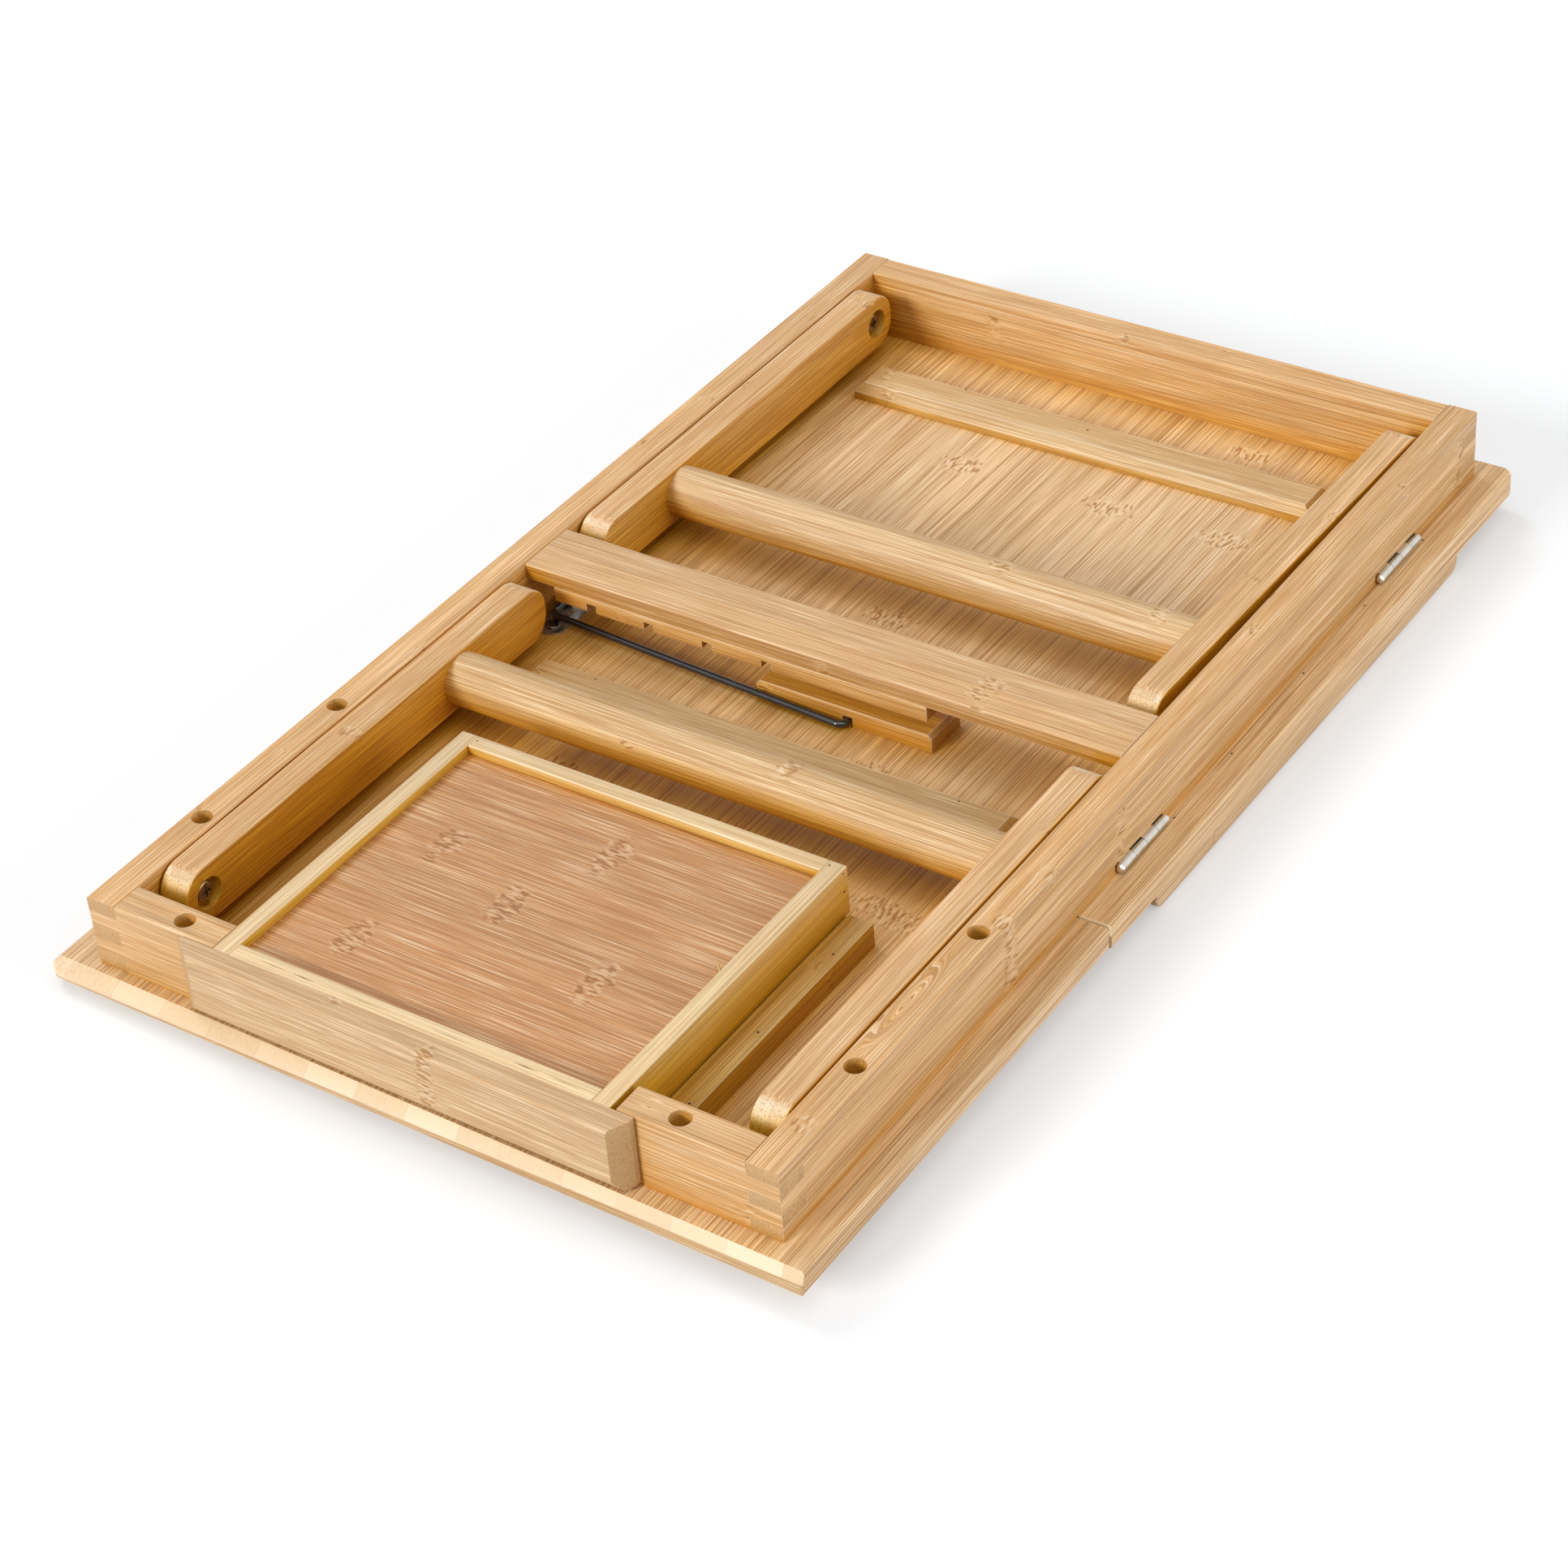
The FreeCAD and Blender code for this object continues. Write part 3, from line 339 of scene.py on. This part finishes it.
knuckle_mark = knuckle_group()
bamboo_slats = slat_group()
bamboo_seeds = itertools.count(1)
seed_step = 1.37
grain_turns = {"X": (0, 0, 0), "Y": (0, 0, math.radians(-90))}
knuckle_reach = (0.0085, 0.0165)


# Slats whose grain runs along X or Y. The marks are knuckles at their places on the object.
def slat_nodes(tree, grain, slat, tones, knuckle_gap, knuckles, marks, streaks, seams, seed,
               pores=0.5, reach=knuckle_reach, eye=None):
    pale, warm, streak, sawn = tones
    s = NodeSketch(tree)
    at = add_node(tree, "ShaderNodeTexCoord").outputs
    turn = grain_turns[grain]
    place = add_node(tree, "ShaderNodeMapping", {
        "Vector": at["Object"], "Rotation": turn}).outputs[0]
    facing = add_node(
        tree, "ShaderNodeMapping", {"Vector": at["Normal"], "Rotation": turn}, vector_type="VECTOR")
    slats = add_node(tree, "ShaderNodeGroup", node_tree=bamboo_slats)
    values = {
        "Slat width": slat[0], "Slat depth": slat[1], "Seed": seed * seed_step,
        "Knuckle gap": knuckle_gap, "Knuckle strength": knuckles, "Streaks": streaks,
        "Seams": seams, "Pores": pores, "Pale": (*pale, 1), "Warm": (*warm, 1),
        "Streak": (*streak, 1), "Sawn": (*sawn, 1),
    }
    for socket, value in values.items():
        slats.inputs[socket].default_value = value
    tree.links.new(place, slats.inputs["Place"])
    tree.links.new(facing.outputs[0], slats.inputs["Facing"])
    mark = None
    for x, y in marks:
        centre = (x, y, 0.0) if grain == "X" else (y, -x, 0.0)
        made = add_node(tree, "ShaderNodeGroup", node_tree=knuckle_mark)
        made.inputs["Centre"].default_value = centre
        made.inputs["Reach"].default_value = (*reach, 1.0)
        flat = s.parts(place)
        tree.links.new(s.vector(flat[0], flat[1], 0.0), made.inputs["Place"])
        if mark:
            tree.links.new(mark, made.inputs["Others"])
        mark = made.outputs["Mark"]
    if mark:
        tree.links.new(mark, slats.inputs["Mark"])
    if eye:
        # The fibres part round an eye in the cane, and close into long ovals inside it
        eye_half_length, eye_half_width, oval_spread = 0.0220, 0.0034, 0.0040
        flat = s.parts(place)
        off_x = s.calc("DIVIDE", s.calc("SUBTRACT", flat[0], eye[0]), eye_half_length)
        off_y = s.calc("DIVIDE", s.calc("SUBTRACT", flat[1], eye[1]), eye_half_width)
        far = s.distance(off_x, off_y)
        inside = s.span(far, 1.25, 0.70)
        oval = s.calc("ADD", s.calc("MULTIPLY", far, oval_spread), eye[1])
        straight = s.calc("MULTIPLY", flat[1], s.calc("SUBTRACT", 1.0, inside))
        bent = s.calc("ADD", straight, s.calc("MULTIPLY", oval, inside))
        tree.links.new(s.vector(flat[0], bent, flat[2]), slats.inputs["Place"])
    return slats.outputs


frame_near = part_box("near_stub_front")[0]
frame_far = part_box("far_rail")[1]
frame_middle = (frame_near + frame_far) / 2
frame_half = (frame_far - frame_near) / 2
# Painted shade in the corners: how each colour channel sinks, open share from, open share to,
# lowest value
painted_shade_depth = ((0.05, 0.60, 0.84), (0.12, 0.86, 0.60), (0.25, 0.92, 0.03))
painted_shade_reach = 0.040
outer_open = 0.80
panel_edge_top, panel_edge_open = 0.0165, 0.0150
arris_highlight = (0.93, 0.78, 0.56, 1.0)


# Painted shade: the colour turns darker and more amber in the corners and gaps, from ambient
# occlusion, and on faces turned to the front.
# The outer faces of the frame and the edges of the panels are kept open, with less of this painted
# shade.
def lacquered_with_painted_shade(tree, colour, roughness, height, painted_shade=0.0, front_painted_shade=0.0):
    s = NodeSketch(tree)
    corner = add_node(
        tree, "ShaderNodeAmbientOcclusion", {"Distance": painted_shade_reach}, samples=6)
    at = s.parts(add_node(tree, "ShaderNodeTexCoord").outputs["Object"])
    past = []
    for axis in (0, 1):
        off = s.calc("ABSOLUTE", s.calc("SUBTRACT", at[axis], frame_middle[axis]))
        past.append(s.calc("SUBTRACT", off, frame_half[axis]))
    outside = s.span(s.calc("MAXIMUM", *past), -0.0012, 0.0010, 0.0, outer_open)
    outside = s.calc("MAXIMUM", outside, s.span(at[2], panel_edge_top, panel_edge_open))
    facing = s.parts(add_node(tree, "ShaderNodeTexCoord").outputs["Normal"])
    # Painted shade on faces turned to the front, away from the lamps
    to_front = s.calc("MULTIPLY", facing[1], -front_painted_shade, clamp=True)
    inner = s.calc("SUBTRACT", s.calc("SUBTRACT", corner.outputs["AO"], painted_shade), to_front)
    open_share = s.calc("MAXIMUM", inner, outside)
    channels = [s.span(open_share, low, high, lowest, 1.0) for low, high, lowest in painted_shade_depth]
    depth = add_node(tree, "ShaderNodeCombineColor", dict(enumerate(channels)))
    colour = s.blend(1.0, colour, depth.outputs[0], "MULTIPLY")
    # Painted highlight: the eased arrises are paler
    arris = add_node(tree, "ShaderNodeAttribute", attribute_name="arris").outputs["Fac"]
    colour = s.blend(s.calc("MULTIPLY", arris, 0.3), colour, arris_highlight)
    bump = add_node(tree, "ShaderNodeBump", {
        "Height": height, "Strength": 0.35, "Distance": 0.0003})
    lacquer = add_node(tree, "ShaderNodeBsdfPrincipled", {
        "Base Color": colour, "Roughness": roughness, "Normal": bump.outputs[0],
        "Specular IOR Level": 0.4, "Coat Weight": 0.12, "Coat Roughness": 0.35})
    add_node(tree, "ShaderNodeOutputMaterial", {"Surface": lacquer.outputs[0]})


rail_pale = (0.69, 0.440, 0.215)
rail_warm = (0.63, 0.345, 0.125)
rail_streak = (0.36, 0.165, 0.038)
rail_sawn = (0.44, 0.285, 0.135)
# A slat wider than any stick, so that no glue line falls on it
one_stick = (0.0400, 0.0400)


def bamboo(name, grain, slat=(0.006, 0.014), pale=rail_pale, warm=rail_warm, streak=rail_streak,
           sawn=rail_sawn, knuckle_gap=0.26, knuckles=0.42, marks=(), streaks=0.60, seams=0.15,
           reach=knuckle_reach, eye=None, painted_shade=0.0, front_painted_shade=0.0):
    material, tree = new_material(name)
    out = slat_nodes(tree, grain, slat, (pale, warm, streak, sawn), knuckle_gap, knuckles, marks,
                     streaks, seams, next(bamboo_seeds), reach=reach, eye=eye)
    lacquered_with_painted_shade(tree, out["Color"], out["Roughness"], out["Height"], painted_shade, front_painted_shade)
    return material


def dress(name, material):
    mesh = nodes[name].data
    mesh.materials.clear()
    mesh.materials.append(material)


fine_arris = 0.00030
soft_arris = 0.00040
weld_distance = 1e-6
flat_angle = math.radians(0.5)
sharp_angle = math.radians(40)
smooth_angle = math.radians(50)


# A sanded copy of a plain wooden piece, with its sharp edges eased
def ease(name, width, material, body):
    mesh = nodes[name].data.copy()
    work = bmesh.new()
    work.from_mesh(mesh)
    bmesh.ops.remove_doubles(work, verts=work.verts, dist=weld_distance)
    bmesh.ops.dissolve_limit(
        work, angle_limit=flat_angle, verts=work.verts, edges=work.edges)
    sharp = [edge for edge in work.edges
             if len(edge.link_faces) == 2 and edge.calc_face_angle() > sharp_angle]
    arris = work.faces.layers.float.new("arris")
    rounded = bmesh.ops.bevel(
        work, geom=sharp, offset=width, offset_type="OFFSET", segments=2, profile=0.5,
        affect="EDGES", clamp_overlap=True)
    for face in rounded["faces"]:
        face[arris] = 1.0
    for face in work.faces:
        face.smooth = True
    for edge in work.edges:
        edge.smooth = len(edge.link_faces) == 2 and edge.calc_face_angle() < smooth_angle
    work.to_mesh(mesh)
    work.free()
    mesh.materials.clear()
    mesh.materials.append(material)
    piece = put_in_scene(name + "_eased", mesh)
    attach(piece, body)
    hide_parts(name)


# Each rail: its grain, its slats' width and depth, and its knuckles
rails = {
    "front_rail": ("X", (0.0058, 0.0140), ((-0.2183, -0.1335), (-0.1072, -0.1365))),
    "back_rail": ("X", (0.0060, 0.0140), ()),
    "far_rail": ("Y", (0.0064, 0.0140), ()),
    "near_stub_front": ("Y", (0.0064, 0.0140), ()),
    "near_stub_back": ("Y", (0.0064, 0.0140), ()),
}
# One long eye lies in the front rail, between two screw holes
front_rail_eye = (-0.1560, -0.1309)
for name, (grain, slat, marks) in rails.items():
    finish = bamboo(name + "_bamboo", grain, slat, marks=marks, reach=(0.0065, 0.0060),
                    eye=front_rail_eye if name == "front_rail" else None, painted_shade=-0.12)
    ease(name, fine_arris, finish, "frame")


# Tray panels.
# Two flat-pressed boards of wide slats, with softened edges all round. The slat ends show as a
# pale band on the planed near edge, made paler still by a painted sheen, above an under layer whose
# grain runs across, painted darker as shade on the lower band.
panel_knuckles = {
    "fixed_panel": ((-0.0911, -0.0771), (-0.0947, -0.0883), (-0.0800, 0.0620)),
    "tilting_panel": ((0.1559, 0.0393), (0.1553, -0.0262), (0.1551, -0.0768), (0.2131, -0.0566),
                      (0.0530, 0.0085), (0.1020, 0.0870), (-0.0300, -0.0350)),
}
wide_slat = (0.0205, 0.0400)
# The panels' pale sawn colour is partly a painted sheen
panel_tones = ((0.78, 0.535, 0.310), (0.68, 0.420, 0.195), rail_streak, (0.84, 0.71, 0.52))
# The under layer's darker tones are partly painted shade
shaded_under_tones = ((0.58, 0.375, 0.185), (0.51, 0.310, 0.130), rail_streak, rail_sawn)
under_seed_step = 20
joint_top, joint_bottom = 0.0140, 0.0132
for name, marks in panel_knuckles.items():
    seed = next(bamboo_seeds)
    finish, tree = new_material(name + "_bamboo")
    s = NodeSketch(tree)
    top = slat_nodes(
        tree, "X", wide_slat, panel_tones, knuckle_gap=0.31, knuckles=0.0, marks=marks,
        streaks=0.75, seams=0.25, seed=seed, pores=0.03)
    under = slat_nodes(
        tree, "Y", wide_slat, shaded_under_tones, knuckle_gap=0.37, knuckles=0.3, marks=(),
        streaks=0.55, seams=0.2, seed=seed + under_seed_step)
    at = add_node(tree, "ShaderNodeTexCoord").outputs
    ends_seen = s.span(s.calc("ABSOLUTE", s.parts(at["Normal"])[0]), 0.18, 0.35)
    low = s.span(s.parts(at["Object"])[2], joint_top, joint_bottom)
    under_seen = s.calc("MULTIPLY", ends_seen, low)
    colour = s.blend(under_seen, top["Color"], under["Color"])
    lacquered_with_painted_shade(tree, colour, top["Roughness"], top["Height"], painted_shade=-0.06)
    dress(name, finish)

# Book ledge.
# A narrow solid strip glued along the front of the tilting panel's tray face.
finish = bamboo("book_ledge_bamboo", "X", slat=(0.012, 0.008), pale=(0.68, 0.46, 0.25))
dress("book_ledge", finish)

# Battens and keeper.
# Bevelled strips glued across the tilting panel keep it flat. The slotted keeper strip takes
# the tip of the folded stay.
for name in ("near_batten", "far_batten"):
    finish = bamboo(name + "_bamboo", "Y", wide_slat, pale=(0.60, 0.405, 0.205),
                    warm=(0.53, 0.335, 0.150), streaks=0.45)
    ease(name, fine_arris, finish, "tilting_top")
finish = bamboo("stay_keeper_bamboo", "Y", slat=(0.010, 0.0400))
ease("stay_keeper", fine_arris, finish, "tilting_top")

# Centre rail and rack.
# A flat rail across the middle of the frame, with the notched rack glued under it.
finish = bamboo("centre_rail_bamboo", "Y", slat=(0.0400, 0.0064), pale=(0.64, 0.390, 0.190),
                warm=(0.58, 0.335, 0.140), knuckle_gap=0.6,
                marks=((0.0030, -0.0680), (-0.0050, -0.0660)), reach=(0.0075, 0.0065))
ease("centre_rail", soft_arris, finish, "frame")
finish = bamboo("notched_rack_bamboo", "Y", slat=(0.0192, 0.0400))
ease("notched_rack", fine_arris, finish, "frame")


# Stay and bracket.
# The stay is one bent steel wire with a black gloss coat. It turns in the saddle of a small
# zinc-plated bracket, which two pan-head screws hold to the panel.
def metal(name, colour, roughness, grain_scale, variation, metallic=1.0, coat=0.0):
    material, tree = new_material(name)
    at = add_node(tree, "ShaderNodeTexCoord").outputs["Object"]
    cloud = add_node(tree, "ShaderNodeTexNoise", {
        "Vector": at, "Scale": grain_scale, "Detail": 4.0, "Roughness": 0.6})
    low, high = 0.3, 0.7
    tint = add_node(tree, "ShaderNodeValToRGB", {"Fac": cloud.outputs[0]})
    darkest, palest = tint.color_ramp.elements
    darkest.position = low
    palest.position = high
    darkest.color = (*[part * (1 - variation) for part in colour], 1)
    palest.color = (*[min(1, part * (1 + variation)) for part in colour], 1)
    rough = add_node(tree, "ShaderNodeMapRange", {
        "Value": cloud.outputs[0], "From Min": low, "From Max": high,
        "To Min": roughness * 0.8, "To Max": roughness * 1.25})
    bump = add_node(tree, "ShaderNodeBump", {
        "Height": cloud.outputs[0], "Strength": 0.15, "Distance": 0.0001})
    surface = add_node(tree, "ShaderNodeBsdfPrincipled", {
        "Base Color": tint.outputs[0], "Metallic": metallic, "Roughness": rough.outputs[0],
        "Normal": bump.outputs[0], "Coat Weight": coat, "Coat Roughness": 0.12})
    add_node(tree, "ShaderNodeOutputMaterial", {"Surface": surface.outputs[0]})
    return material


dress("stay_wire", metal(
    "black_coat", (0.012, 0.013, 0.016), roughness=0.20, grain_scale=120.0, variation=0.15,
    metallic=0.0, coat=0.6))
dress("stay_bracket", metal(
    "zinc_plate", (0.42, 0.42, 0.41), roughness=0.34, grain_scale=700.0, variation=0.35))
dark_screw = metal(
    "dark_screw_steel", (0.16, 0.12, 0.08), roughness=0.38, grain_scale=1200.0, variation=0.5)
pivot_screw = metal(
    "pivot_screw_steel", (0.34, 0.26, 0.17), roughness=0.30, grain_scale=900.0, variation=0.3)
for name in nodes:
    if name.startswith(("bracket_screw", "panel_screw")):
        dress(name, dark_screw)
    if name.startswith("leg_pivot"):
        dress(name, pivot_screw)

# Hinges.
# Two small butt hinges of bright steel join the front rail to the tilting panel. Only their
# knuckles and pin heads show, beside the rail.
hinge_steel = metal(
    "hinge_steel", (0.66, 0.64, 0.60), roughness=0.26, grain_scale=260.0, variation=0.10)
for name in nodes:
    if name.startswith("hinge"):
        dress(name, hinge_steel)

# Legs and dowels.
# Two pairs of legs, flat bars with rounded ends, turn on screws in the long rails. A round
# dowel joins each pair.
# The legs' pale sawn colour on their rounded ends is partly a painted sheen
for name in ("leg_near_front", "leg_near_back", "leg_far_front", "leg_far_back"):
    dress(name, bamboo(
        name + "_bamboo", "X", slat=(0.0400, 0.0220), pale=(0.64, 0.400, 0.200),
        sawn=(0.80, 0.68, 0.50), knuckle_gap=0.29, front_painted_shade=0.30))
dowel_knuckles = {
    "dowel_near": ((-0.0700, -0.0306),),
    "dowel_far": ((0.0686, -0.0316), (0.0686, -0.0973)),
}
for name, marks in dowel_knuckles.items():
    dress(name, bamboo(
        name + "_bamboo", "Y", one_stick, pale=(0.65, 0.435, 0.225), warm=(0.56, 0.340, 0.140),
        knuckle_gap=0.5, marks=marks, reach=(0.0065, 0.0080), front_painted_shade=0.25))
spacer_steel = metal(
    "spacer_steel", (0.30, 0.29, 0.27), roughness=0.5, grain_scale=800.0, variation=0.3)
for name in nodes:
    if name.startswith("leg_spacer"):
        dress(name, spacer_steel)

# Drawer and runners.
# A plain box of pale slats behind a thicker face. Its bottom board is darker, carbonised
# bamboo, let into a groove. Two strips pinned to the panel carry it.
cream = (0.76, 0.575, 0.335)
cream_warm = (0.68, 0.475, 0.240)
for name in ("drawer_side_front", "drawer_side_back"):
    finish = bamboo(name + "_bamboo", "X", one_stick, pale=cream, warm=cream_warm, streaks=0.35,
                    knuckles=0.2, painted_shade=0.08, front_painted_shade=0.16)
    ease(name, soft_arris, finish, "drawer")
for name in ("drawer_inner_front", "drawer_back"):
    finish = bamboo(name + "_bamboo", "Y", one_stick, pale=cream, warm=cream_warm, streaks=0.35,
                    knuckles=0.2)
    ease(name, soft_arris, finish, "drawer")
face_knuckles = ((-0.2490, -0.0120), (-0.2400, 0.0290))
dress("drawer_face", bamboo(
    "drawer_face_bamboo", "Y", one_stick, pale=(0.57, 0.370, 0.200), warm=(0.52, 0.325, 0.165),
    streaks=0.35, knuckles=0.0, marks=face_knuckles, reach=(0.0050, 0.0075)))
bottom_knuckles = ((-0.1571, 0.0498), (-0.1357, -0.0035), (-0.1733, 0.0122),
                   (-0.2111, 0.0466), (-0.1911, -0.0365))
dress("drawer_bottom", bamboo(
    "drawer_bottom_bamboo", "Y", slat=(0.0190, 0.0400), pale=(0.54, 0.270, 0.110),
    warm=(0.49, 0.230, 0.086), streak=(0.29, 0.115, 0.034), knuckle_gap=0.5, knuckles=0.0,
    marks=bottom_knuckles))
for name in ("drawer_runner_front", "drawer_runner_back"):
    finish = bamboo(name + "_bamboo", "X", one_stick, pale=(0.64, 0.455, 0.235),
                    warm=(0.58, 0.395, 0.175), painted_shade=0.08, front_painted_shade=0.25)
    ease(name, fine_arris, finish, "frame")


# Pins and small marks.
# Thin steel pins hold the runners, the battens, the ledge and the drawer's corners. The glue
# joint of the drawer is open in a few short gaps, drawn as flat dark slivers of painted shade, and
# one splinter has lifted from its side.
def pin_head_tree():
    tree = bpy.data.node_groups.new("pin_heads", "GeometryNodeTree")
    sockets = (("Points", "Geometry"), ("Head radius", "Float"), ("Head height", "Float"),
               ("Sunk", "Float"), ("Seed", "Int"), ("Metal", "Material"))
    for socket, kind in sockets:
        tree.interface.new_socket(socket, in_out="INPUT", socket_type="NodeSocket" + kind)
    tree.interface.new_socket("Heads", in_out="OUTPUT", socket_type="NodeSocketGeometry")
    given = add_node(tree, "NodeGroupInput").outputs
    crown_share, smallest, largest = 0.72, 0.8, 1.2
    crown = math_node(tree, "MULTIPLY", given["Head radius"], crown_share)
    head = add_node(tree, "GeometryNodeMeshCone", {
        "Vertices": 14, "Radius Top": crown, "Radius Bottom": given["Head radius"],
        "Depth": given["Head height"]})
    lower = math_node(tree, "MULTIPLY", given["Sunk"], -1.0)
    drop = add_node(tree, "ShaderNodeCombineXYZ", {2: lower})
    set_in = add_node(tree, "GeometryNodeTransform", {
        "Geometry": head.outputs["Mesh"], "Translation": drop.outputs[0]})
    facing = add_node(tree, "GeometryNodeInputNamedAttribute", {"Name": "facing"},
                      data_type="FLOAT_VECTOR")
    turned = add_node(tree, "FunctionNodeAlignRotationToVector", {"Vector": facing.outputs[0]},
                      axis="Z")
    size = add_node(tree, "FunctionNodeRandomValue", {
        2: smallest, 3: largest, "Seed": given["Seed"]})
    heads = add_node(tree, "GeometryNodeInstanceOnPoints", {
        "Points": given["Points"], "Instance": set_in.outputs[0], "Rotation": turned.outputs[0],
        "Scale": size.outputs[1]})
    real = add_node(tree, "GeometryNodeRealizeInstances", {0: heads.outputs[0]})
    metal_set = add_node(tree, "GeometryNodeSetMaterial", {
        "Geometry": real.outputs[0], "Material": given["Metal"]})
    add_node(tree, "NodeGroupOutput", {0: metal_set.outputs[0]})
    return tree


up, front, back = (0, 0, 1), (0, -1, 0), (0, 1, 0)
runner_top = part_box("drawer_runner_front")[1].z
side_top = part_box("drawer_side_front")[1].z
side_out = -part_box("drawer_side_front")[0].y
batten_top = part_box("near_batten")[1].z
panel_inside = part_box("tilting_panel")[1].z
runner_pin_xs, runner_pin_y = (-0.1291, -0.1731, -0.2115), 0.0850
corner_pin_x, corner_pin_y = -0.1095, 0.0723
side_pin_x, side_pin_zs = -0.1096, (0.0444, 0.0369)
near_batten_pin_x, near_batten_pin_y = -0.0369, 0.0766
far_batten_pins = ((0.1907, 0.0027), (0.1951, 0.0609))
ledge_pin_xs, ledge_pin_y = (-0.0027, 0.0388, 0.0930, 0.1411, 0.1896), -0.1412
# Each pin: its place on the object and the way its head faces
pins = {
    "frame": [
        (x, side * runner_pin_y, runner_top, up) for side in (-1, 1) for x in runner_pin_xs],
    "drawer": (
        [(corner_pin_x, side * corner_pin_y, side_top, up) for side in (-1, 1)]
        + [(side_pin_x, side * side_out, z, front if side < 0 else back)
           for side in (-1, 1) for z in side_pin_zs]),
    "tilting_top": (
        [(near_batten_pin_x, side * near_batten_pin_y, batten_top, up) for side in (1, -1)]
        + [(x, y, batten_top, up) for x, y in far_batten_pins]
        + [(x, ledge_pin_y, panel_inside, up) for x in ledge_pin_xs]),
}
pin_steel = metal(
    "pin_steel", (0.10, 0.075, 0.055), roughness=0.45, grain_scale=1500.0, variation=0.4)
pin_heads = pin_head_tree()
for seed, (body, places) in enumerate(pins.items()):
    points = bpy.data.meshes.new(body + "_pin_points")
    points.from_pydata([place[:3] for place in places], [], [])
    facing = points.attributes.new("facing", "FLOAT_VECTOR", "POINT")
    for place, value in zip(places, facing.data):
        value.vector = place[3]
    holder = put_in_scene(body + "_pin_points", points)
    modifier = holder.modifiers.new("pin_heads", "NODES")
    modifier.node_group = pin_heads
    pin_sizes = {"Head radius": 0.00052, "Head height": 0.00040, "Sunk": 0.00032, "Seed": seed,
                 "Metal": pin_steel}
    for item in pin_heads.interface.items_tree:
        if item.in_out == "INPUT" and item.name in pin_sizes:
            modifier[item.identifier] = pin_sizes[item.name]
    evaluated = holder.evaluated_get(bpy.context.evaluated_depsgraph_get())
    made = bpy.data.meshes.new_from_object(evaluated)
    holder.modifiers.clear()
    bpy.data.objects.remove(holder)
    made.name = body + "_pins"
    piece = put_in_scene(body + "_pins", made)
    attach(piece, body)

# Painted shade: flat dark slivers, coloured as the shade inside the open gaps, with a mottled tint
gap_shade, tree = new_material("open_glue_gap")
s = NodeSketch(tree)
at = add_node(tree, "ShaderNodeTexCoord").outputs["Object"]
gap_mottle = s.noise(at, (900.0, 900.0, 900.0), 2.0)
tint = s.blend(gap_mottle, (0.055, 0.028, 0.010, 1), (0.16, 0.085, 0.030, 1))
surface = add_node(tree, "ShaderNodeBsdfPrincipled", {"Base Color": tint, "Roughness": 0.8})
add_node(tree, "ShaderNodeOutputMaterial", {"Surface": surface.outputs[0]})


# A flat sliver, pointed at both ends, laid just proud of the wood
def sliver(work, start, end, width, lift=0.00003):
    start, end = Vector(start), Vector(end)
    aside = (end - start).cross(Vector((0, 0, 1))).normalized() * width / 2
    middle = (start + end) / 2
    raised = Vector((0, 0, lift))
    loop = (start, middle + aside, end, middle - aside)
    work.faces.new([work.verts.new(point + raised) for point in loop])


# The open stretches of the glue joint: where each starts, its length, slant and width
glue_joint_x = -0.2384
glue_gaps = (
    (0.0400, 0.0090, 0.0001, 0.00040), (0.0510, 0.0120, 0.0000, 0.00022),
    (0.0120, 0.0160, 0.0002, 0.00018), (-0.0490, 0.0100, 0.0001, 0.00040),
    (-0.0650, 0.0130, 0.0000, 0.00022), (-0.0230, 0.0170, 0.0001, 0.00018),
)
work = bmesh.new()
for y, length, slant, width in glue_gaps:
    sliver(work, (glue_joint_x, y, side_top), (glue_joint_x + slant, y + length, side_top), width)
work.normal_update()
gap_mesh = bpy.data.meshes.new("drawer_glue_gaps")
work.to_mesh(gap_mesh)
work.free()
gap_mesh.materials.append(gap_shade)
piece = put_in_scene("drawer_glue_gaps", gap_mesh)
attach(piece, "drawer")

splinter_root = Vector((-0.1700, -0.0700, 0.0423))
splinter_tip = Vector((-0.1645, -0.0648, 0.0452))
splinter_half_width = 0.0004
splinter_corners = ((1, -1, 0), (-1, 1, 0), (0, 0, 1.4))
work = bmesh.new()
base = [work.verts.new(splinter_root + Vector(corner) * splinter_half_width)
        for corner in splinter_corners]
tip = work.verts.new(splinter_tip)
work.faces.new(base)
for first, second in ((0, 1), (1, 2), (2, 0)):
    work.faces.new((base[first], base[second], tip))
bmesh.ops.recalc_face_normals(work, faces=work.faces)
splinter_mesh = bpy.data.meshes.new("drawer_splinter")
work.to_mesh(splinter_mesh)
work.free()
splinter_mesh.materials.append(bamboo("splinter_bamboo", "X", pale=cream, warm=cream_warm))
piece = put_in_scene("drawer_splinter", splinter_mesh)
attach(piece, "drawer")
